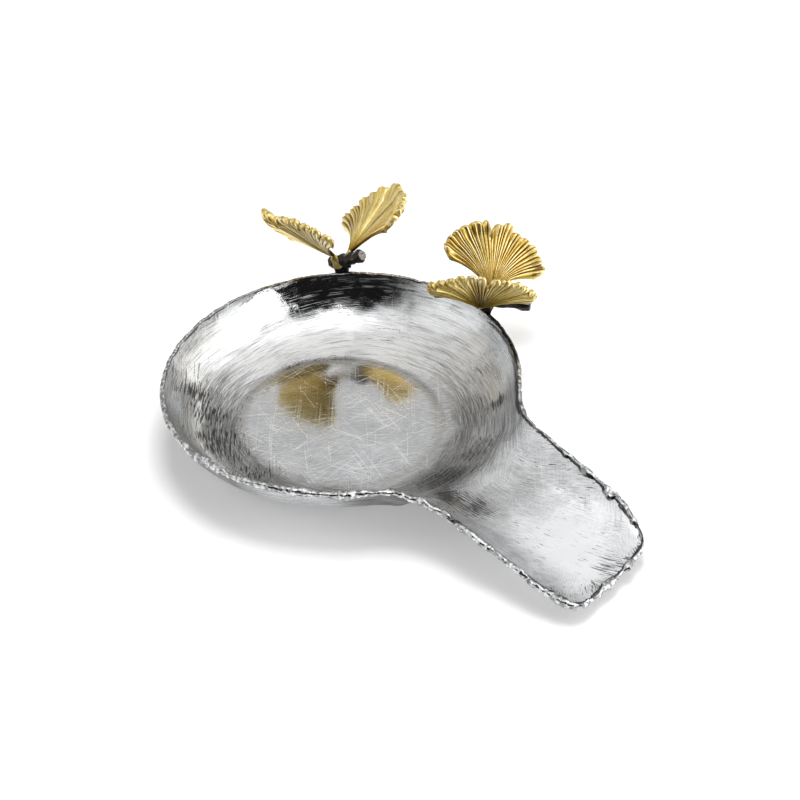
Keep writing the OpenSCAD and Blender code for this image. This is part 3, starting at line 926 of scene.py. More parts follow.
# Painted highlights and painted shade in the trough: middle, breadth and change of lightness
TROUGH_TONES = (
    ((0.111, 0.002), 0.014, 0.40),
    ((0.125, -0.002), 0.013, 0.40),
    ((0.084, 0.010), 0.013, -0.30),
    ((0.099, 0.018), 0.010, -0.12),
    ((0.105, -0.021), 0.012, -0.20),
    ((0.104, 0.027), 0.010, -0.15),
    ((0.079, -0.008), 0.010, -0.30),
)

# How the floor leans out of level, as the sideways part of the way that it faces: all over along x and y,
# more towards its edge by a bow along x and a twist, and more still by a warp
FLOOR_LEAN = (0.037, -0.046)
FLOOR_BOW = 0.051
FLOOR_TWIST = -0.018
FLOOR_WARP = (-0.045, 0.029, -0.031)
# Its lean at the side under the right butterfly, the way to that side and where it starts
SIDE_LEAN = (-0.003, -0.086, 0)
SIDE_WAY = (0.72, 0.69)
SIDE_RUN = (0.024, 0.032)
SIDE_TURN = (38, 50)
# Where the lean starts to fade, from the floor's edge: in general, in the stretch that mirrors
# the left butterfly and at the side, where it also runs on past the edge
LEAN_FADE = {"plain": -0.013, "mirror": -0.002, "side": 0.002}
MIRROR_TURN = (135, 80)
SIDE_OVERRUN = 0.008

# Share of a stretch's spread where a mark is whole. Over the rest it fades.
WHOLE_SHARE = 0.7


def turn_window(turn, middle, spread):
    """1 near a turn round the bowl and 0 away from it, with both given in degrees."""
    away = (np.degrees(turn) - middle + 180) % 360 - 180
    return 1 - smooth_step(WHOLE_SHARE, 1.0, np.abs(away) / spread)


class Inside:
    """Places on the dish's inside, and how far each belongs to the wall, trough, ridge and rim."""

    def __init__(self, obj, form):
        s = form.sizes
        self.x, self.y, self.z = read_points(obj).T
        self.turn = np.arctan2(self.y, self.x)
        self.radius = np.hypot(self.x, self.y)
        self.past_floor = self.radius - s.floor_radius
        self.inward = form.edge_radius(self.turn) - self.radius
        self.wall = smooth_step(-WALL_MARGIN, mix(*WALL_FADE, self.window(FADED_TURN)), self.past_floor)
        self.trough = smooth_step(0, TROUGH_FADE, self.x - s.bowl_half_length)
        self.ridge = smooth_step(*RIDGE_RUN, self.x)
        self.high = smooth_step(*RIM_RUN, self.z)
        self.far = smooth_step(*FAR_RUN, (1 + np.cos(self.turn - math.radians(FAR_TURN))) / 2)

    def window(self, stretch):
        """1 in a stretch round the bowl and 0 away from it."""
        return turn_window(self.turn, *stretch)

    def spot(self, middle, breadth):
        """1 in the middle of a round spot, fading over its breadth."""
        return bell(np.hypot(self.x - middle[0], self.y - middle[1]), breadth)


def paint_satin(obj, inside):
    """Keeps where the plating is polished, and how rough it is."""
    polished = inside.window(POLISHED_TURN) * inside.high
    bowl = mix(SATIN["ring"], SATIN["rim"], inside.high)
    bowl = mix(SATIN["floor"], bowl, smooth_step(*MIRROR_RUN, inside.past_floor))
    bowl = mix(bowl, SATIN["polished"], polished)
    middle, breadth, change = DULL_SPOT
    bowl = bowl + change * inside.spot(middle, breadth)
    paint(obj, "polished", polished)
    paint(obj, "satin", mix(mix(bowl, SATIN["ridge"], inside.ridge), SATIN["trough"], inside.trough))


def paint_tone(obj, inside):
    """Keeps how light the plating is, with painted reflection, painted shade and painted highlights in it."""
    # Painted reflection: the low wall is dark on the near side and light on the far side
    low = mix(TONE["near"], TONE["far"], inside.far)
    bowl = mix(TONE["floor"], mix(low, TONE["rim"], inside.high), inside.wall)
    # The ridge's dark tone is painted shade, lighter to its right by a painted highlight
    ridge = TONE["ridge"] + RIDGE_LIGHT * smooth_step(*RIDGE_LIGHT_RUN, inside.y)
    tone = mix(mix(bowl, ridge, inside.ridge), TONE["trough"], inside.trough)
    # Painted shade in the crease round the floor
    tone = tone - mix(*CREASE_DARK, inside.far) * bell(inside.past_floor, CREASE_WIDTH)
    # Painted shade along the trough's near side
    near_side = inside.trough * (inside.y < 0)
    tone = tone - TROUGH_SIDE_DARK * near_side * (1 - smooth_step(*TROUGH_SIDE_RUN, inside.inward))
    # Painted dark reflection below the bead on the near wall, and a painted highlight line under it
    strip = STRIP_DARK * (1 - smooth_step(*STRIP_RUN, inside.inward))
    pale_line = PALE_LINE_LIGHT * bell(inside.inward - PALE_LINE_PLACE, PALE_LINE_WIDTH)
    tone = tone + (pale_line - strip) * inside.window(NEAR_TURN)
    # Painted highlights and painted shade in the trough
    for middle, breadth, change in TROUGH_TONES:
        tone = tone + inside.trough * change * inside.spot(middle, breadth)
    paint(obj, "tone", tone)


def paint_lay(obj, s, inside):
    """Keeps the way of the brush lines: round the wall, and round it on a slant."""
    # The circle is drawn small, so that a line is long for its width
    small = s.floor_radius / BRUSH_STRETCH
    x, y = small * np.cos(inside.turn), small * np.sin(inside.turn)
    up = inside.radius + inside.z
    slant = up + BRUSH_SLANT * s.floor_radius * np.abs(inside.turn)
    paint_vectors(obj, "lay", np.stack([x, y, up], axis=-1))
    paint_vectors(obj, "slant", np.stack([x, y, slant], axis=-1))


def paint_lean(obj, s, inside):
    """Keeps how far the floor leans."""
    side = inside.window(SIDE_TURN)
    start = mix(LEAN_FADE["plain"], LEAN_FADE["mirror"], inside.window(MIRROR_TURN))
    start = mix(start, LEAN_FADE["side"], side)
    level = 1 - smooth_step(start, SIDE_OVERRUN * side, inside.past_floor)
    u, v = inside.x / s.floor_radius, inside.y / s.floor_radius
    along, mixed, across = FLOOR_WARP
    lean_x = FLOOR_LEAN[0] + FLOOR_BOW * u + FLOOR_TWIST * v
    lean_x = lean_x + 3 * along * u**2 + 2 * mixed * u * v + across * v**2
    lean_y = FLOOR_LEAN[1] + FLOOR_TWIST * u + mixed * u**2 + 2 * across * u * v
    lean = np.stack([lean_x, lean_y, 0 * u], axis=-1)
    aside = smooth_step(*SIDE_RUN, inside.x * SIDE_WAY[0] + inside.y * SIDE_WAY[1])
    paint_vectors(obj, "lean", level[:, None] * mix(lean, np.array(SIDE_LEAN), aside[:, None]))


def paint_tarnish_and_shade(obj, inside):
    """Keeps where the dark film and painted shade lie: film in the crease round the floor, painted shade
    under the bead, and patches of both.
    """
    crease = bell(inside.past_floor, CREASE_FILM_WIDTH) * mix(*CREASE_FILM, inside.window(CREASE_TURN))
    # Painted shade under the bead
    below_bead = 1 - smooth_step(*RIM_SHADE_RUN, inside.inward)
    film_and_shade = np.maximum(WALL_FILM * inside.wall, crease)
    film_and_shade = np.maximum(film_and_shade, below_bead * mix(*RIM_SHADE, inside.window(RIM_SHADE_TURN)))
    for middle, breadth, strength in TARNISH_AND_SHADE_PATCHES:
        film_and_shade = np.maximum(film_and_shade, strength * inside.spot(middle, breadth))
    paint(obj, "tarnish", film_and_shade)


def dish_marks(obj, form):
    """Keeps on the mesh where brush lines run, how rough and light it is with its painted shade and
    reflection, and where the dark film and painted shade lie.
    """
    inside = Inside(obj, form)
    paint(obj, "wall", inside.wall)
    paint(obj, "trough", inside.trough)
    paint(obj, "crossed", mix(*CROSSED_SHARE, inside.window(CROSSED_TURN)) * (1 - inside.trough))
    paint_satin(obj, inside)
    paint_tone(obj, inside)
    paint_lay(obj, form.sizes, inside)
    paint_lean(obj, form.sizes, inside)
    paint_tarnish_and_shade(obj, inside)


# How far up from the floor the dents fade in, and how many times smaller and shallower the finer ones are
DENT_FADE = 0.008
FINE_DENT_SIZE = 2.3
FINE_DENT_DEPTH = 2


def make_dish(settings):
    """The sheet: its inside as a wrapped grid, dented, then given its thickness."""
    s = settings.dish
    form = DishForm(s)
    obj, around, across = new_grid("bowl_and_handle", AROUND, FLOOR_RINGS + WALL_RINGS)
    write_points(obj, dish_points(form, around, across))
    close_seams(obj)
    points = read_points(obj)
    normals = read_normals(obj)
    fade = smooth_step(0, DENT_FADE, np.hypot(points[:, 0], points[:, 1]) - s.floor_radius)
    dents = lumps(points, s.dent_size) + lumps(points, s.dent_size / FINE_DENT_SIZE, 7.0) / FINE_DENT_DEPTH
    write_points(obj, points + normals * (fade * dents * s.dent_depth)[:, None])
    dish_marks(obj, form)
    apply_modifier(obj, "SOLIDIFY", thickness=s.sheet, offset=-1, use_even_offset=True)
    return obj


# Bead

# Painted shade on a stretch of the bead near the right butterfly: its middle and spread round the bowl
# in degrees and how dark it is; and how dark the bead is on the calm side
DARK_BEAD_TURN = (68, 18)
DARK_BEAD = 0.6
CALM_DARK = 0.35
# Lengths over which the bead strays sideways and up
STRAY_LENGTH = 0.006
RISE_LENGTH = 0.0045
# Share of its width and height that the bead keeps on the calm side
CALM_WIDTH = 0.75
CALM_HEIGHT = 0.5
# Way to the front of the bowl, and how far out of its middle the bead is melted all over
FRONT_WAY = (0.7, -0.7)
FRONT_RUN = 0.06
# The lumps are heaviest on the right of the handle and at its tip: where they start along x and across,
# and how much heavier they are
RIGHT_RUN = ((0.075, 0.095), (-0.02, 0.02))
TIP_RUN = (0.125, 0.135)
HEAVY = 0.8
# Finer lumps: their stretch, and how many times smaller and what share of a lump's height they are
GRIT_STRETCH = 1.3
GRIT_SIZE = 2.2
GRIT_HEIGHT = 0.4
# Drips: their stretch, and how rare they are
DRIP_STRETCH = 1.4
DRIP_RARITY = 0.12
# How much the lumps swell and shrink along the edge, and the least and the most that is left of them
BURST = 2.0
BURST_RANGE = (0.15, 2.2)
# Painted shade in the corner between the bead and the inside: where it starts, inwards and down, as shares
# of the bead's half-width and half-height, how dark it is, and how clean the lumps are
CORNER_SIDE = 0.1
CORNER_TOP = 0.7
CORNER_DARK = 1.4
LUMP_CLEAN = 0.8


def ring_places(form, around, roll, stretch, tube):
    """Places on a ring as long as the edge, squeezed along its length, to lay long lumps on."""
    turn = 2 * np.pi * around
    reach = form.perimeter / (2 * np.pi * stretch) + tube * np.cos(roll)
    return np.stack([reach * np.cos(turn), reach * np.sin(turn), tube * np.sin(roll)], axis=-1)


def edge_line(form, around):
    """Places along the edge, drawn as a ring of its length."""
    return ring_places(form, around, np.zeros_like(around), 1.0, 0.0)


def bead_melt(s, place):
    """How far the bead is melted at a place, and how heavy its lumps are there."""
    x, y = place[:, 0], place[:, 1]
    melt = mix(s.calm, 1.0, smooth_step(0, FRONT_RUN, FRONT_WAY[0] * x + FRONT_WAY[1] * y))
    right = smooth_step(*RIGHT_RUN[0], x) * smooth_step(*RIGHT_RUN[1], y)
    return melt, 1 + HEAVY * np.maximum(right, smooth_step(*TIP_RUN, x))


def bead_swell(s, form, around, roll, heavy):
    """Height of the melted lumps and drips."""
    melted = lumps(ring_places(form, around, roll, s.lump_stretch, s.half_width), s.lump_size)
    grit = lumps(ring_places(form, around, roll, GRIT_STRETCH, s.half_width), s.lump_size / GRIT_SIZE, 3.0)
    drips = lumps(ring_places(form, around, roll, DRIP_STRETCH, s.half_width), s.drip_size, 11.0)
    burst = np.clip(1 + BURST * lumps(edge_line(form, around), s.burst, 8.0), *BURST_RANGE)
    lumpy = s.lump * burst * heavy * (melted + GRIT_HEIGHT * grit)
    return lumpy + s.drip * np.maximum(drips - DRIP_RARITY, 0)


def make_bead(settings):
    """The bead: a wrapped grid round the edge, swollen into long melted lumps and drips."""
    s = settings.bead
    form = DishForm(settings.dish)
    obj, around, section = new_grid("melted_edge", BEAD_AROUND, BEAD_SIDES)
    turn = form.turn_at(around)
    roll = 2 * np.pi * section
    middle, across, _, out = form.edge_frame(turn)
    melt, heavy = bead_melt(s, middle)
    half_width = s.half_width * mix(CALM_WIDTH, 1.0, melt)
    half_height = (s.top + s.wrap) / 2 * mix(CALM_HEIGHT, 1.0, melt)
    line = edge_line(form, around)
    aside = s.wander * lumps(line, STRAY_LENGTH)
    up = s.wander * lumps(line, RISE_LENGTH, 5.0) + half_height - s.wrap
    sideways, upwards = np.cos(roll), np.sin(roll)
    swell = melt * bead_swell(s, form, around, roll, heavy)
    wide = aside + (half_width + swell) * sideways
    high = up + (half_height + swell) * upwards
    write_points(obj, middle + across * wide[:, None] + out * high[:, None])
    # The dark film stays in the hollows, and painted shade lies in the corner between the bead and the inside
    # and on the stretch near the right butterfly
    corner = np.maximum(-sideways - CORNER_SIDE, 0) * np.maximum(CORNER_TOP - upwards, 0)
    dark = CALM_DARK * (1 - melt) + DARK_BEAD * turn_window(turn, *DARK_BEAD_TURN)
    paint(obj, "pit", np.clip(CORNER_DARK * corner - LUMP_CLEAN * swell / s.lump + dark, -1, 1))
    close_seams(obj)
    return obj


# Wings


def turned(turn):
    """Turning matrix of a compass, rise and roll in degrees."""
    compass, rise, roll = (math.radians(a) for a in turn)
    return Euler((roll, -rise, compass), "XYZ").to_matrix()


def heading(turn):
    """The way a twig points, from its compass and rise in degrees."""
    return turned((turn[0], turn[1], 0)) @ Vector((1, 0, 0))


def twig_middle(form, butterfly):
    """Middle of a twig over the rim."""
    middle, _, _, out = form.edge_frame(np.array([math.radians(butterfly.place)]))
    return Vector(middle[0]) + Vector(out[0]) * butterfly.lift


def peg_end(form, butterfly, wing):
    """Place of a wing's peg on its twig's axis."""
    return twig_middle(form, butterfly) + heading(butterfly.twig_turn) * wing.peg


def wing_root(form, butterfly, wing):
    """Place that a wing's ribs spring from."""
    return peg_end(form, butterfly, wing) + turned(wing.turn) @ Vector(wing.root)


def ripple(places, rate, seed):
    """Smooth random values from about -1 to 1, the same for the same place across a fan."""
    found, back = np.unique(np.round(places, 6), return_inverse=True)
    return np.array([noise.noise(Vector((rate * place, seed, 0.5))) for place in found])[back]


def rounding(depth, width):
    """A quarter round: 0 at depth 0 and 1 from the given depth on."""
    return np.sqrt(1 - (1 - np.clip(depth / width, 0, 1)) ** 2)


# Habits of a fan: rounding of its edge, sides and root, and breadth of its split and fold, as shares
EDGE_ROUND = 0.05
SIDE_ROUND = 0.03
ROOT_ROUND = 0.06
SPLIT_WIDTH = 0.035
LOBE_BLUNT = 0.33
FOLD_WIDTH = 0.08
CORNER_POWER = 12
FAN_MIDDLE = 0.001

# How unevenly its lobes and ribs lie and how much the ribs differ, each as an amount and a rate
# across the fan
LOBE_SWAY = (0.07, 2.5)
LOBE_JITTER = (0.012, 9)
RIB_JITTER = (0.55, 7)
RIB_STRENGTH = (0.7, 1.3)
# Rates at which the lobes' lengths and the fan's waves change across it
LOBE_RATE = 1.7
WAVE_RATE = 2.2

# Where it curls, where it thins and where its root ends, as shares of the way from its root to its edge
CURL_RUN = (0.78, 1.0)
THIN_RUN = (0.8, 0.95)
ROOT_RUN = (0, 0.4)
# Fullness of a lobe that the pleats and the curl leave in place, and share of the ribs' height at the root
PLEAT_LEVEL = 0.6
CURL_LEVEL = 0.45
ROOT_RIBS = 0.15

# Painted shade: how dark its furrows and the gaps between its lobes are; how dark its root is;
# and painted highlight: how much lighter its edge is
FURROW_DARK = 0.85
GAP_DARK = 0.5
ROOT_DARK = 0.6
EDGE_LIGHT = 0.4
# Where a wing's painted shade fades, on the way from its root to its edge
SHADE_RUN = (0.2, 0.9)

# Fine veins of a fan: its width where they are drawn, in metres, and their length for their breadth
VEIN_SPREAD = 0.060
VEIN_STRETCH = 14

# How blunt a stalk's ends are, and how dark it is
STALK_POWER = 8
STALK_DARK = 0.35


def fan_lobes(s, f, seed):
    """Fullness and number of the lobe at a share f across a fan, and fullness of the rib that lies there."""
    sway = LOBE_SWAY[0] * ripple(f, LOBE_SWAY[1], seed)
    sway = sway + LOBE_JITTER[0] * ripple(f, LOBE_JITTER[1], seed + 1)
    place = f + sway * (1 - f**2)
    lobe = np.abs(np.sin(np.pi * s.lobes * (place + 1) / 2)) ** LOBE_BLUNT
    number = np.floor(s.lobes * (place + 1) / 2)
    jitter = RIB_JITTER[0] * ripple(place, RIB_JITTER[1], seed + 3)
    rib = np.abs(np.cos(np.pi * (s.ribs * (place + 1) / 2 + jitter)))
    return lobe, number, rib


def fan_plan(s, radius, f, u, lobe, number, seed):
    """Plan of a fan whose ribs are arcs that turn outwards, from the root (u 0) to the edge (u 1)."""
    reach = 1 - s.shoulder * f**2 - s.corner * np.abs(f) ** CORNER_POWER
    reach = reach * (1 - s.split * bell(f - s.split_place, SPLIT_WIDTH))
    reach = reach * (1 - s.lobe_depth * (1 - lobe) + s.uneven * lobe * ripple(number, LOBE_RATE, seed))
    spring = np.where(np.abs(f) < FAN_MIDDLE, FAN_MIDDLE, f)
    start = s.root_turn * spring
    turn = (s.edge_turn - s.root_turn) * spring
    scale = radius * reach / (2 * np.sin(turn / 2))
    x = (np.sin(start + turn * u) - np.sin(start)) * scale
    y = (np.cos(start) - np.cos(start + turn * u)) * scale
    return x, y + s.neck_half_width * f * (1 - u) ** 4


def fan_points(s, radius, f, v, seed):
    """Skin of a fan: f from -1 to 1 across it, v from 0 at its root, over its edge, to 1 below its root."""
    u = np.sin(np.pi * v)
    lobe, number, rib = fan_lobes(s, f, seed)
    x, y = fan_plan(s, radius, f, u, lobe, number, seed)
    far = np.hypot(x, y) / radius
    edge = smooth_step(*CURL_RUN, u)
    fold = bell(f - s.split_place, FOLD_WIDTH)
    wave = s.wave * ripple(f, WAVE_RATE, seed + 5)
    bend = radius * (s.cup * far**2 + wave * far**2 - s.fold * fold * far)
    pleat = s.pleat * (lobe - PLEAT_LEVEL) * u + s.curl * (lobe - CURL_LEVEL) * edge
    strong = 1 + RIB_STRENGTH[0] * ripple(np.floor(f * s.ribs), RIB_STRENGTH[1], seed + 9)
    fine = s.rib_height * strong * (rib - 0.5) * np.minimum(far + ROOT_RIBS, 1)
    skin = rounding(1 - u, EDGE_ROUND) * rounding(1 - np.abs(f), SIDE_ROUND) * rounding(u, ROOT_ROUND)
    thick = mix(s.thickness, s.edge_thickness, smooth_step(*THIN_RUN, u)) / 2
    face = np.where(v < 0.5, 1.0, -1.0)
    z = bend + pleat + face * skin * (thick + fine)
    # Painted shade in the furrows and the gaps between the lobes, lighter at the edge by a painted highlight,
    # and a darker root
    furrow = (FURROW_DARK * (1 - rib) + GAP_DARK * (1 - lobe) * u) * (1 - EDGE_LIGHT * edge)
    furrow = furrow + ROOT_DARK * (1 - smooth_step(*ROOT_RUN, u))
    return np.stack([x, y, z], axis=-1), furrow


def make_fan(name, s, radius, shade, seed):
    """A fan lying flat with its root at the origin: a grid wrapped over its edge and closed at its sides."""
    obj, across, loop = new_grid(name, FAN_ACROSS, FAN_LOOP)
    points, furrow = fan_points(s, radius, 2 * across - 1, loop, seed)
    write_points(obj, points)
    out = np.sin(np.pi * loop)
    # A wing's shade adds painted shade towards its root
    paint(obj, "furrow", furrow + shade * (1 - smooth_step(*SHADE_RUN, out)))
    run = radius * out / VEIN_STRETCH
    paint_vectors(obj, "vein", np.stack([VEIN_SPREAD * across, run, np.full_like(run, seed)], axis=-1))
    close_seams(obj)
    return obj


def make_stalk(name, path, side, half_width, half_thickness):
    """A stalk along the curve that three points lead: a grid rolled up and closed at both ends."""
    obj, around, along = new_grid(name, STALK_STEPS, STALK_STEPS)
    start, knee, end = (np.array(point) for point in path)
    u = along[:, None]
    middle = (1 - u) ** 2 * start + 2 * u * (1 - u) * knee + u**2 * end
    way = unit((1 - u) * (knee - start) + u * (end - knee))
    across = unit(np.array(side) - way * (way @ np.array(side))[:, None])
    off = np.cross(way, across)
    closed = np.sqrt(1 - np.abs(2 * along - 1) ** STALK_POWER)
    turn = 2 * np.pi * around
    wide = (half_width * closed * np.cos(turn))[:, None]
    thick = (half_thickness * closed * np.sin(turn))[:, None]
    write_points(obj, middle + across * wide + off * thick)
    paint(obj, "furrow", np.full(len(along), STALK_DARK))
    close_seams(obj)
    return obj


def make_peg(s, form, butterfly, wing):
    """The peg from a wing's root into its twig."""
    start = peg_end(form, butterfly, wing)
    root = wing_root(form, butterfly, wing)
    end = root + (root - start).normalized() * s.peg_lap
    side = turned(wing.turn) @ Vector((0, 1, 0))
    return make_stalk("peg", (start, start.lerp(end, 0.5), end), side, s.peg_radius, s.peg_radius)


def make_foot(s, form, butterfly, wing):
    """The flattened foot from the left inner wing's root down to the bead."""
    middle, across, along, out = form.edge_frame(np.array([math.radians(FOOT_PLACE)]))
    start = wing_root(form, butterfly, wing)
    end = Vector(middle[0] + out[0] * FOOT_RISE - across[0] * FOOT_SHIFT)
    knee = start.lerp(end, 0.5) - Vector(across[0]) * s.foot_bow
    return make_stalk("foot", (start, knee, end), along[0], s.foot_half_width, s.thickness / 2)


def join(obj, *others):
    """Makes the others part of one object."""
    deselect()
    for other in others:
        other.select_set(True)
    obj.select_set(True)
    bpy.context.view_layer.objects.active = obj
    bpy.ops.object.join()


def make_wing(settings, butterfly, wing, seed):
    """One wing in its place on its twig, with its peg."""
    s = settings.wing
    form = DishForm(settings.dish)
    obj = make_fan(f"{butterfly.name}_{wing.kind}_leaf", s, butterfly.radius, wing.shade, seed)
    obj.data.transform(Matrix.Translation(wing_root(form, butterfly, wing)) @ turned(wing.turn).to_4x4())
    join(obj, make_peg(s, form, butterfly, wing))
    if (butterfly.name, wing.kind) == ("left", "inner"):
        join(obj, make_foot(s, form, butterfly, wing))
    return obj


# Twigs and rivets


def copy_node(node, name):
    """A copy of one of the part's own solids, with its triangles joined."""
    deselect()
    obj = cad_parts[node].copy()
    obj.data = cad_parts[node].data.copy()
    obj.name = name
    obj.data.name = name
    obj.parent = None
    obj.matrix_world = Matrix.Identity(4)
    bpy.context.collection.objects.link(obj)
    obj.hide_render = False
    edit_all(obj, lambda: bpy.ops.mesh.remove_doubles(threshold=MERGE_DISTANCE))
    return obj


# A twig's rounding: how many times its points are smoothed
TWIG_SMOOTHINGS = 8
# Bark: share of the way along a twig that is taken out, so that its furrows are long,
# and how many times smaller and what share of a furrow's depth the finer ones are
BARK_SQUEEZE = 0.72
FINE_BARK_SIZE = 2.2
FINE_BARK_DEPTH = 0.6
# Cut ends: where they start, short of a twig's end, their radius, and the depth and the length
# per radian of the waves that are their rings
CUT_RUN = (-0.0007, -0.0003)
CUT_RADIUS = 0.0021
RING_DEPTH = 0.16
RING_LENGTH = 0.00042
# How much a rivet's head and the rest of it are rubbed, and the depth of the points that are its head
HEAD_RUBBED = 0.8
REST_RUBBED = 0.2
HEAD_DEPTH = 1e-5


def make_twig(settings, butterfly):
    """A twig on its saddle: the part's own solid, rounded as if cast, then furrowed like bark."""
    s = settings.twig
    form = DishForm(settings.dish)
    obj = copy_node(butterfly.name + "_twig", butterfly.name + "_bark_twig")
    apply_modifier(obj, "REMESH", mode="VOXEL", voxel_size=s.grain)
    apply_modifier(obj, "SMOOTH", factor=0.5, iterations=TWIG_SMOOTHINGS)
    points, normals = read_points(obj), read_normals(obj)
    along = np.array(heading(butterfly.twig_turn))
    offset = points - np.array(twig_middle(form, butterfly))
    run = offset @ along
    squeezed = points - np.outer(run, along) * BARK_SQUEEZE
    furrows = lumps(squeezed, s.furrow) + FINE_BARK_DEPTH * lumps(squeezed, s.furrow / FINE_BARK_SIZE, 4.0)
    past_end = np.maximum(run - butterfly.head, -butterfly.tail - run)
    radius = np.linalg.norm(offset - np.outer(run, along), axis=1)
    cut = smooth_step(*CUT_RUN, past_end) * (radius < CUT_RADIUS)
    furrows = np.where(cut > 0.5, RING_DEPTH * np.cos(radius / RING_LENGTH), furrows)
    write_points(obj, points + normals * (s.bark * furrows)[:, None])
    paint(obj, "cut", cut)
    paint(obj, "ridge", np.clip(furrows, 0, 1))
    return obj


def make_rivet(settings, butterfly):
    """A rivet through the saddle and the sheet, with a domed head."""
    obj = copy_node(butterfly.name + "_rivet", butterfly.name + "_domed_rivet")
    form = DishForm(settings.dish)
    _, across, _, _ = form.edge_frame(np.array([math.radians(butterfly.place)]))
    points = read_points(obj)
    run = points @ across[0]
    head = run > run.max() - HEAD_DEPTH
    paint(obj, "cut", np.zeros(len(points)))
    paint(obj, "ridge", np.where(head, HEAD_RUBBED, REST_RUBBED))
    apply_modifier(obj, "BEVEL", width=settings.twig.rivet_dome, segments=4, limit_method="ANGLE")
    return obj


# Operators


class SPOON_OT_dish(bpy.types.Operator):
    """Models the bowl and its trough handle"""

    bl_idname = "spoon.dish"
    bl_label = "Bowl and Handle"

    def execute(self, context):
        settings = context.scene.spoon_rest
        finish_piece(make_dish(settings), ["dish"], nickel_finish(settings.finish))
        return {"FINISHED"}


class SPOON_OT_bead(bpy.types.Operator):
    """Models the melted bead along the edge"""

    bl_idname = "spoon.bead"
    bl_label = "Edge Bead"

    def execute(self, context):
        settings = context.scene.spoon_rest
        finish_piece(make_bead(settings), ["rim_bead"], bead_finish(settings.finish))
        return {"FINISHED"}


class SPOON_OT_wings(bpy.types.Operator):
    """Models the four fan-shaped wings"""

    bl_idname = "spoon.wings"
    bl_label = "Wings"

    def execute(self, context):
        settings = context.scene.spoon_rest
        gilt = gilt_finish(settings.finish)
        for number, butterfly in enumerate(BUTTERFLIES):
            for place, wing in enumerate(butterfly.wings):
                leaf = make_wing(settings, butterfly, wing, 1.0 + 4.0 * number + 2.0 * place)
                finish_piece(leaf, [f"{butterfly.name}_{wing.kind}_wing"], gilt)
        return {"FINISHED"}


class SPOON_OT_twigs(bpy.types.Operator):
    """Models the twigs that are the butterflies' bodies, and their rivets"""

    bl_idname = "spoon.twigs"
    bl_label = "Twigs and Rivets"

    def execute(self, context):
        settings = context.scene.spoon_rest
        bronze = bronze_finish(settings.finish)
        for butterfly in BUTTERFLIES:
            finish_piece(make_twig(settings, butterfly), [butterfly.name + "_twig"], bronze)
            finish_piece(make_rivet(settings, butterfly), [butterfly.name + "_rivet"], bronze)
        return {"FINISHED"}


# Stage

Lamp = namedtuple("Lamp", "name compass rise distance target sides mirrored")
Card = namedtuple("Card", "name compass distance width height low high foot top")

# A lamp's place is its compass and rise in degrees and its distance in metres, then come where it points,
# its sides and whether shiny metal mirrors it.
KEY_LAMP = Lamp("key", 5, 77, 1.3, (0.03, 0, 0), (0.6, 0.6), False)
SIDE_LAMP = Lamp("side_box", 97, 22, 1.4, (0, 0, 0.1), (1.9, 1.2), True)
TOP_LAMP = Lamp("top_box", 130, 76, 1.4, (0, 0, 0), (0.8, 0.8), True)

# A card's glow is low up to the height of its foot, and high from the height of its top on.
CARDS = (
    Card("black_card", -181, 1.4, 3.1, 2.8, 0.01, 0.6, 1.8, 2.7),
    Card("grey_card", -30, 1.5, 3.8, 2.7, 0.25, 0.75, 0.0, 1.25),
    Card("pale_card", 32, 1.5, 1.1, 2.7, 0.3, 1.0, 0.2, 1.2),
)

# The floor's colour, its own glow near the object and away from it, and the distances between which
# the glow changes
FLOOR_COLOUR = (0.8, 0.8, 0.8, 1)
FLOOR_GLOW = (0.28, 0.9)
FLOOR_GLOW_RUN = (0.3, 1.5)

# Width of the camera's sensor, in millimetres
SENSOR_WIDTH = 36


def seen_by_camera(s):
    """1 for what the camera sees, also in shiny or clear surfaces, and 0 for rays that carry light."""
    ray = s.add("ShaderNodeLightPath").outputs
    shown = s.math("MAXIMUM", ray["Is Camera Ray"], ray["Is Glossy Ray"])
    return s.math("MAXIMUM", shown, ray["Is Transmission Ray"])


def floor_finish():
    """Matt pale floor that the camera sees as white away from shadows."""
    material, s = new_material("pale_floor")
    matt = s.add("ShaderNodeBsdfDiffuse", {"Color": FLOOR_COLOUR})
    far = s.add("ShaderNodeVectorMath", {0: s.place()}, operation="LENGTH").outputs["Value"]
    glow = s.rise(far, *FLOOR_GLOW_RUN, *FLOOR_GLOW)
    lift = s.add("ShaderNodeEmission", {"Strength": s.math("MULTIPLY", seen_by_camera(s), glow)})
    both = s.add("ShaderNodeAddShader", {0: matt.outputs[0], 1: lift.outputs[0]})
    s.add("ShaderNodeOutputMaterial", {"Surface": both.outputs[0]})
    return material


def set_sky(scene, strength):
    """Even light from all round, which the camera and shiny metal see as white."""
    world = bpy.data.worlds.new("studio")
    world.use_nodes = True
    scene.world = world
    s = Shader(world.node_tree)
    glow = s.between(seen_by_camera(s), strength, 1.0)
    sky = s.add("ShaderNodeBackground", {"Color": (1, 1, 1, 1), "Strength": glow})
    s.add("ShaderNodeOutputWorld", {"Surface": sky.outputs[0]})


def point_at(obj, target, roll=0.0):
    """Turns a lamp or the camera towards a point."""
    way = (Vector(target) - obj.location).to_track_quat("-Z", "Y")
    obj.rotation_euler = (way @ Quaternion((0, 0, 1), roll)).to_euler()


def studio_place(s, compass, rise, distance):
    """A place in the studio: compass 0 is beyond the object, 90 to its right and 180 behind the camera."""
    turn = s.azimuth - math.radians(compass)
    rise = math.radians(rise)
    way = Vector((-math.sin(turn) * math.cos(rise), math.cos(turn) * math.cos(rise), math.sin(rise)))
    return way * distance


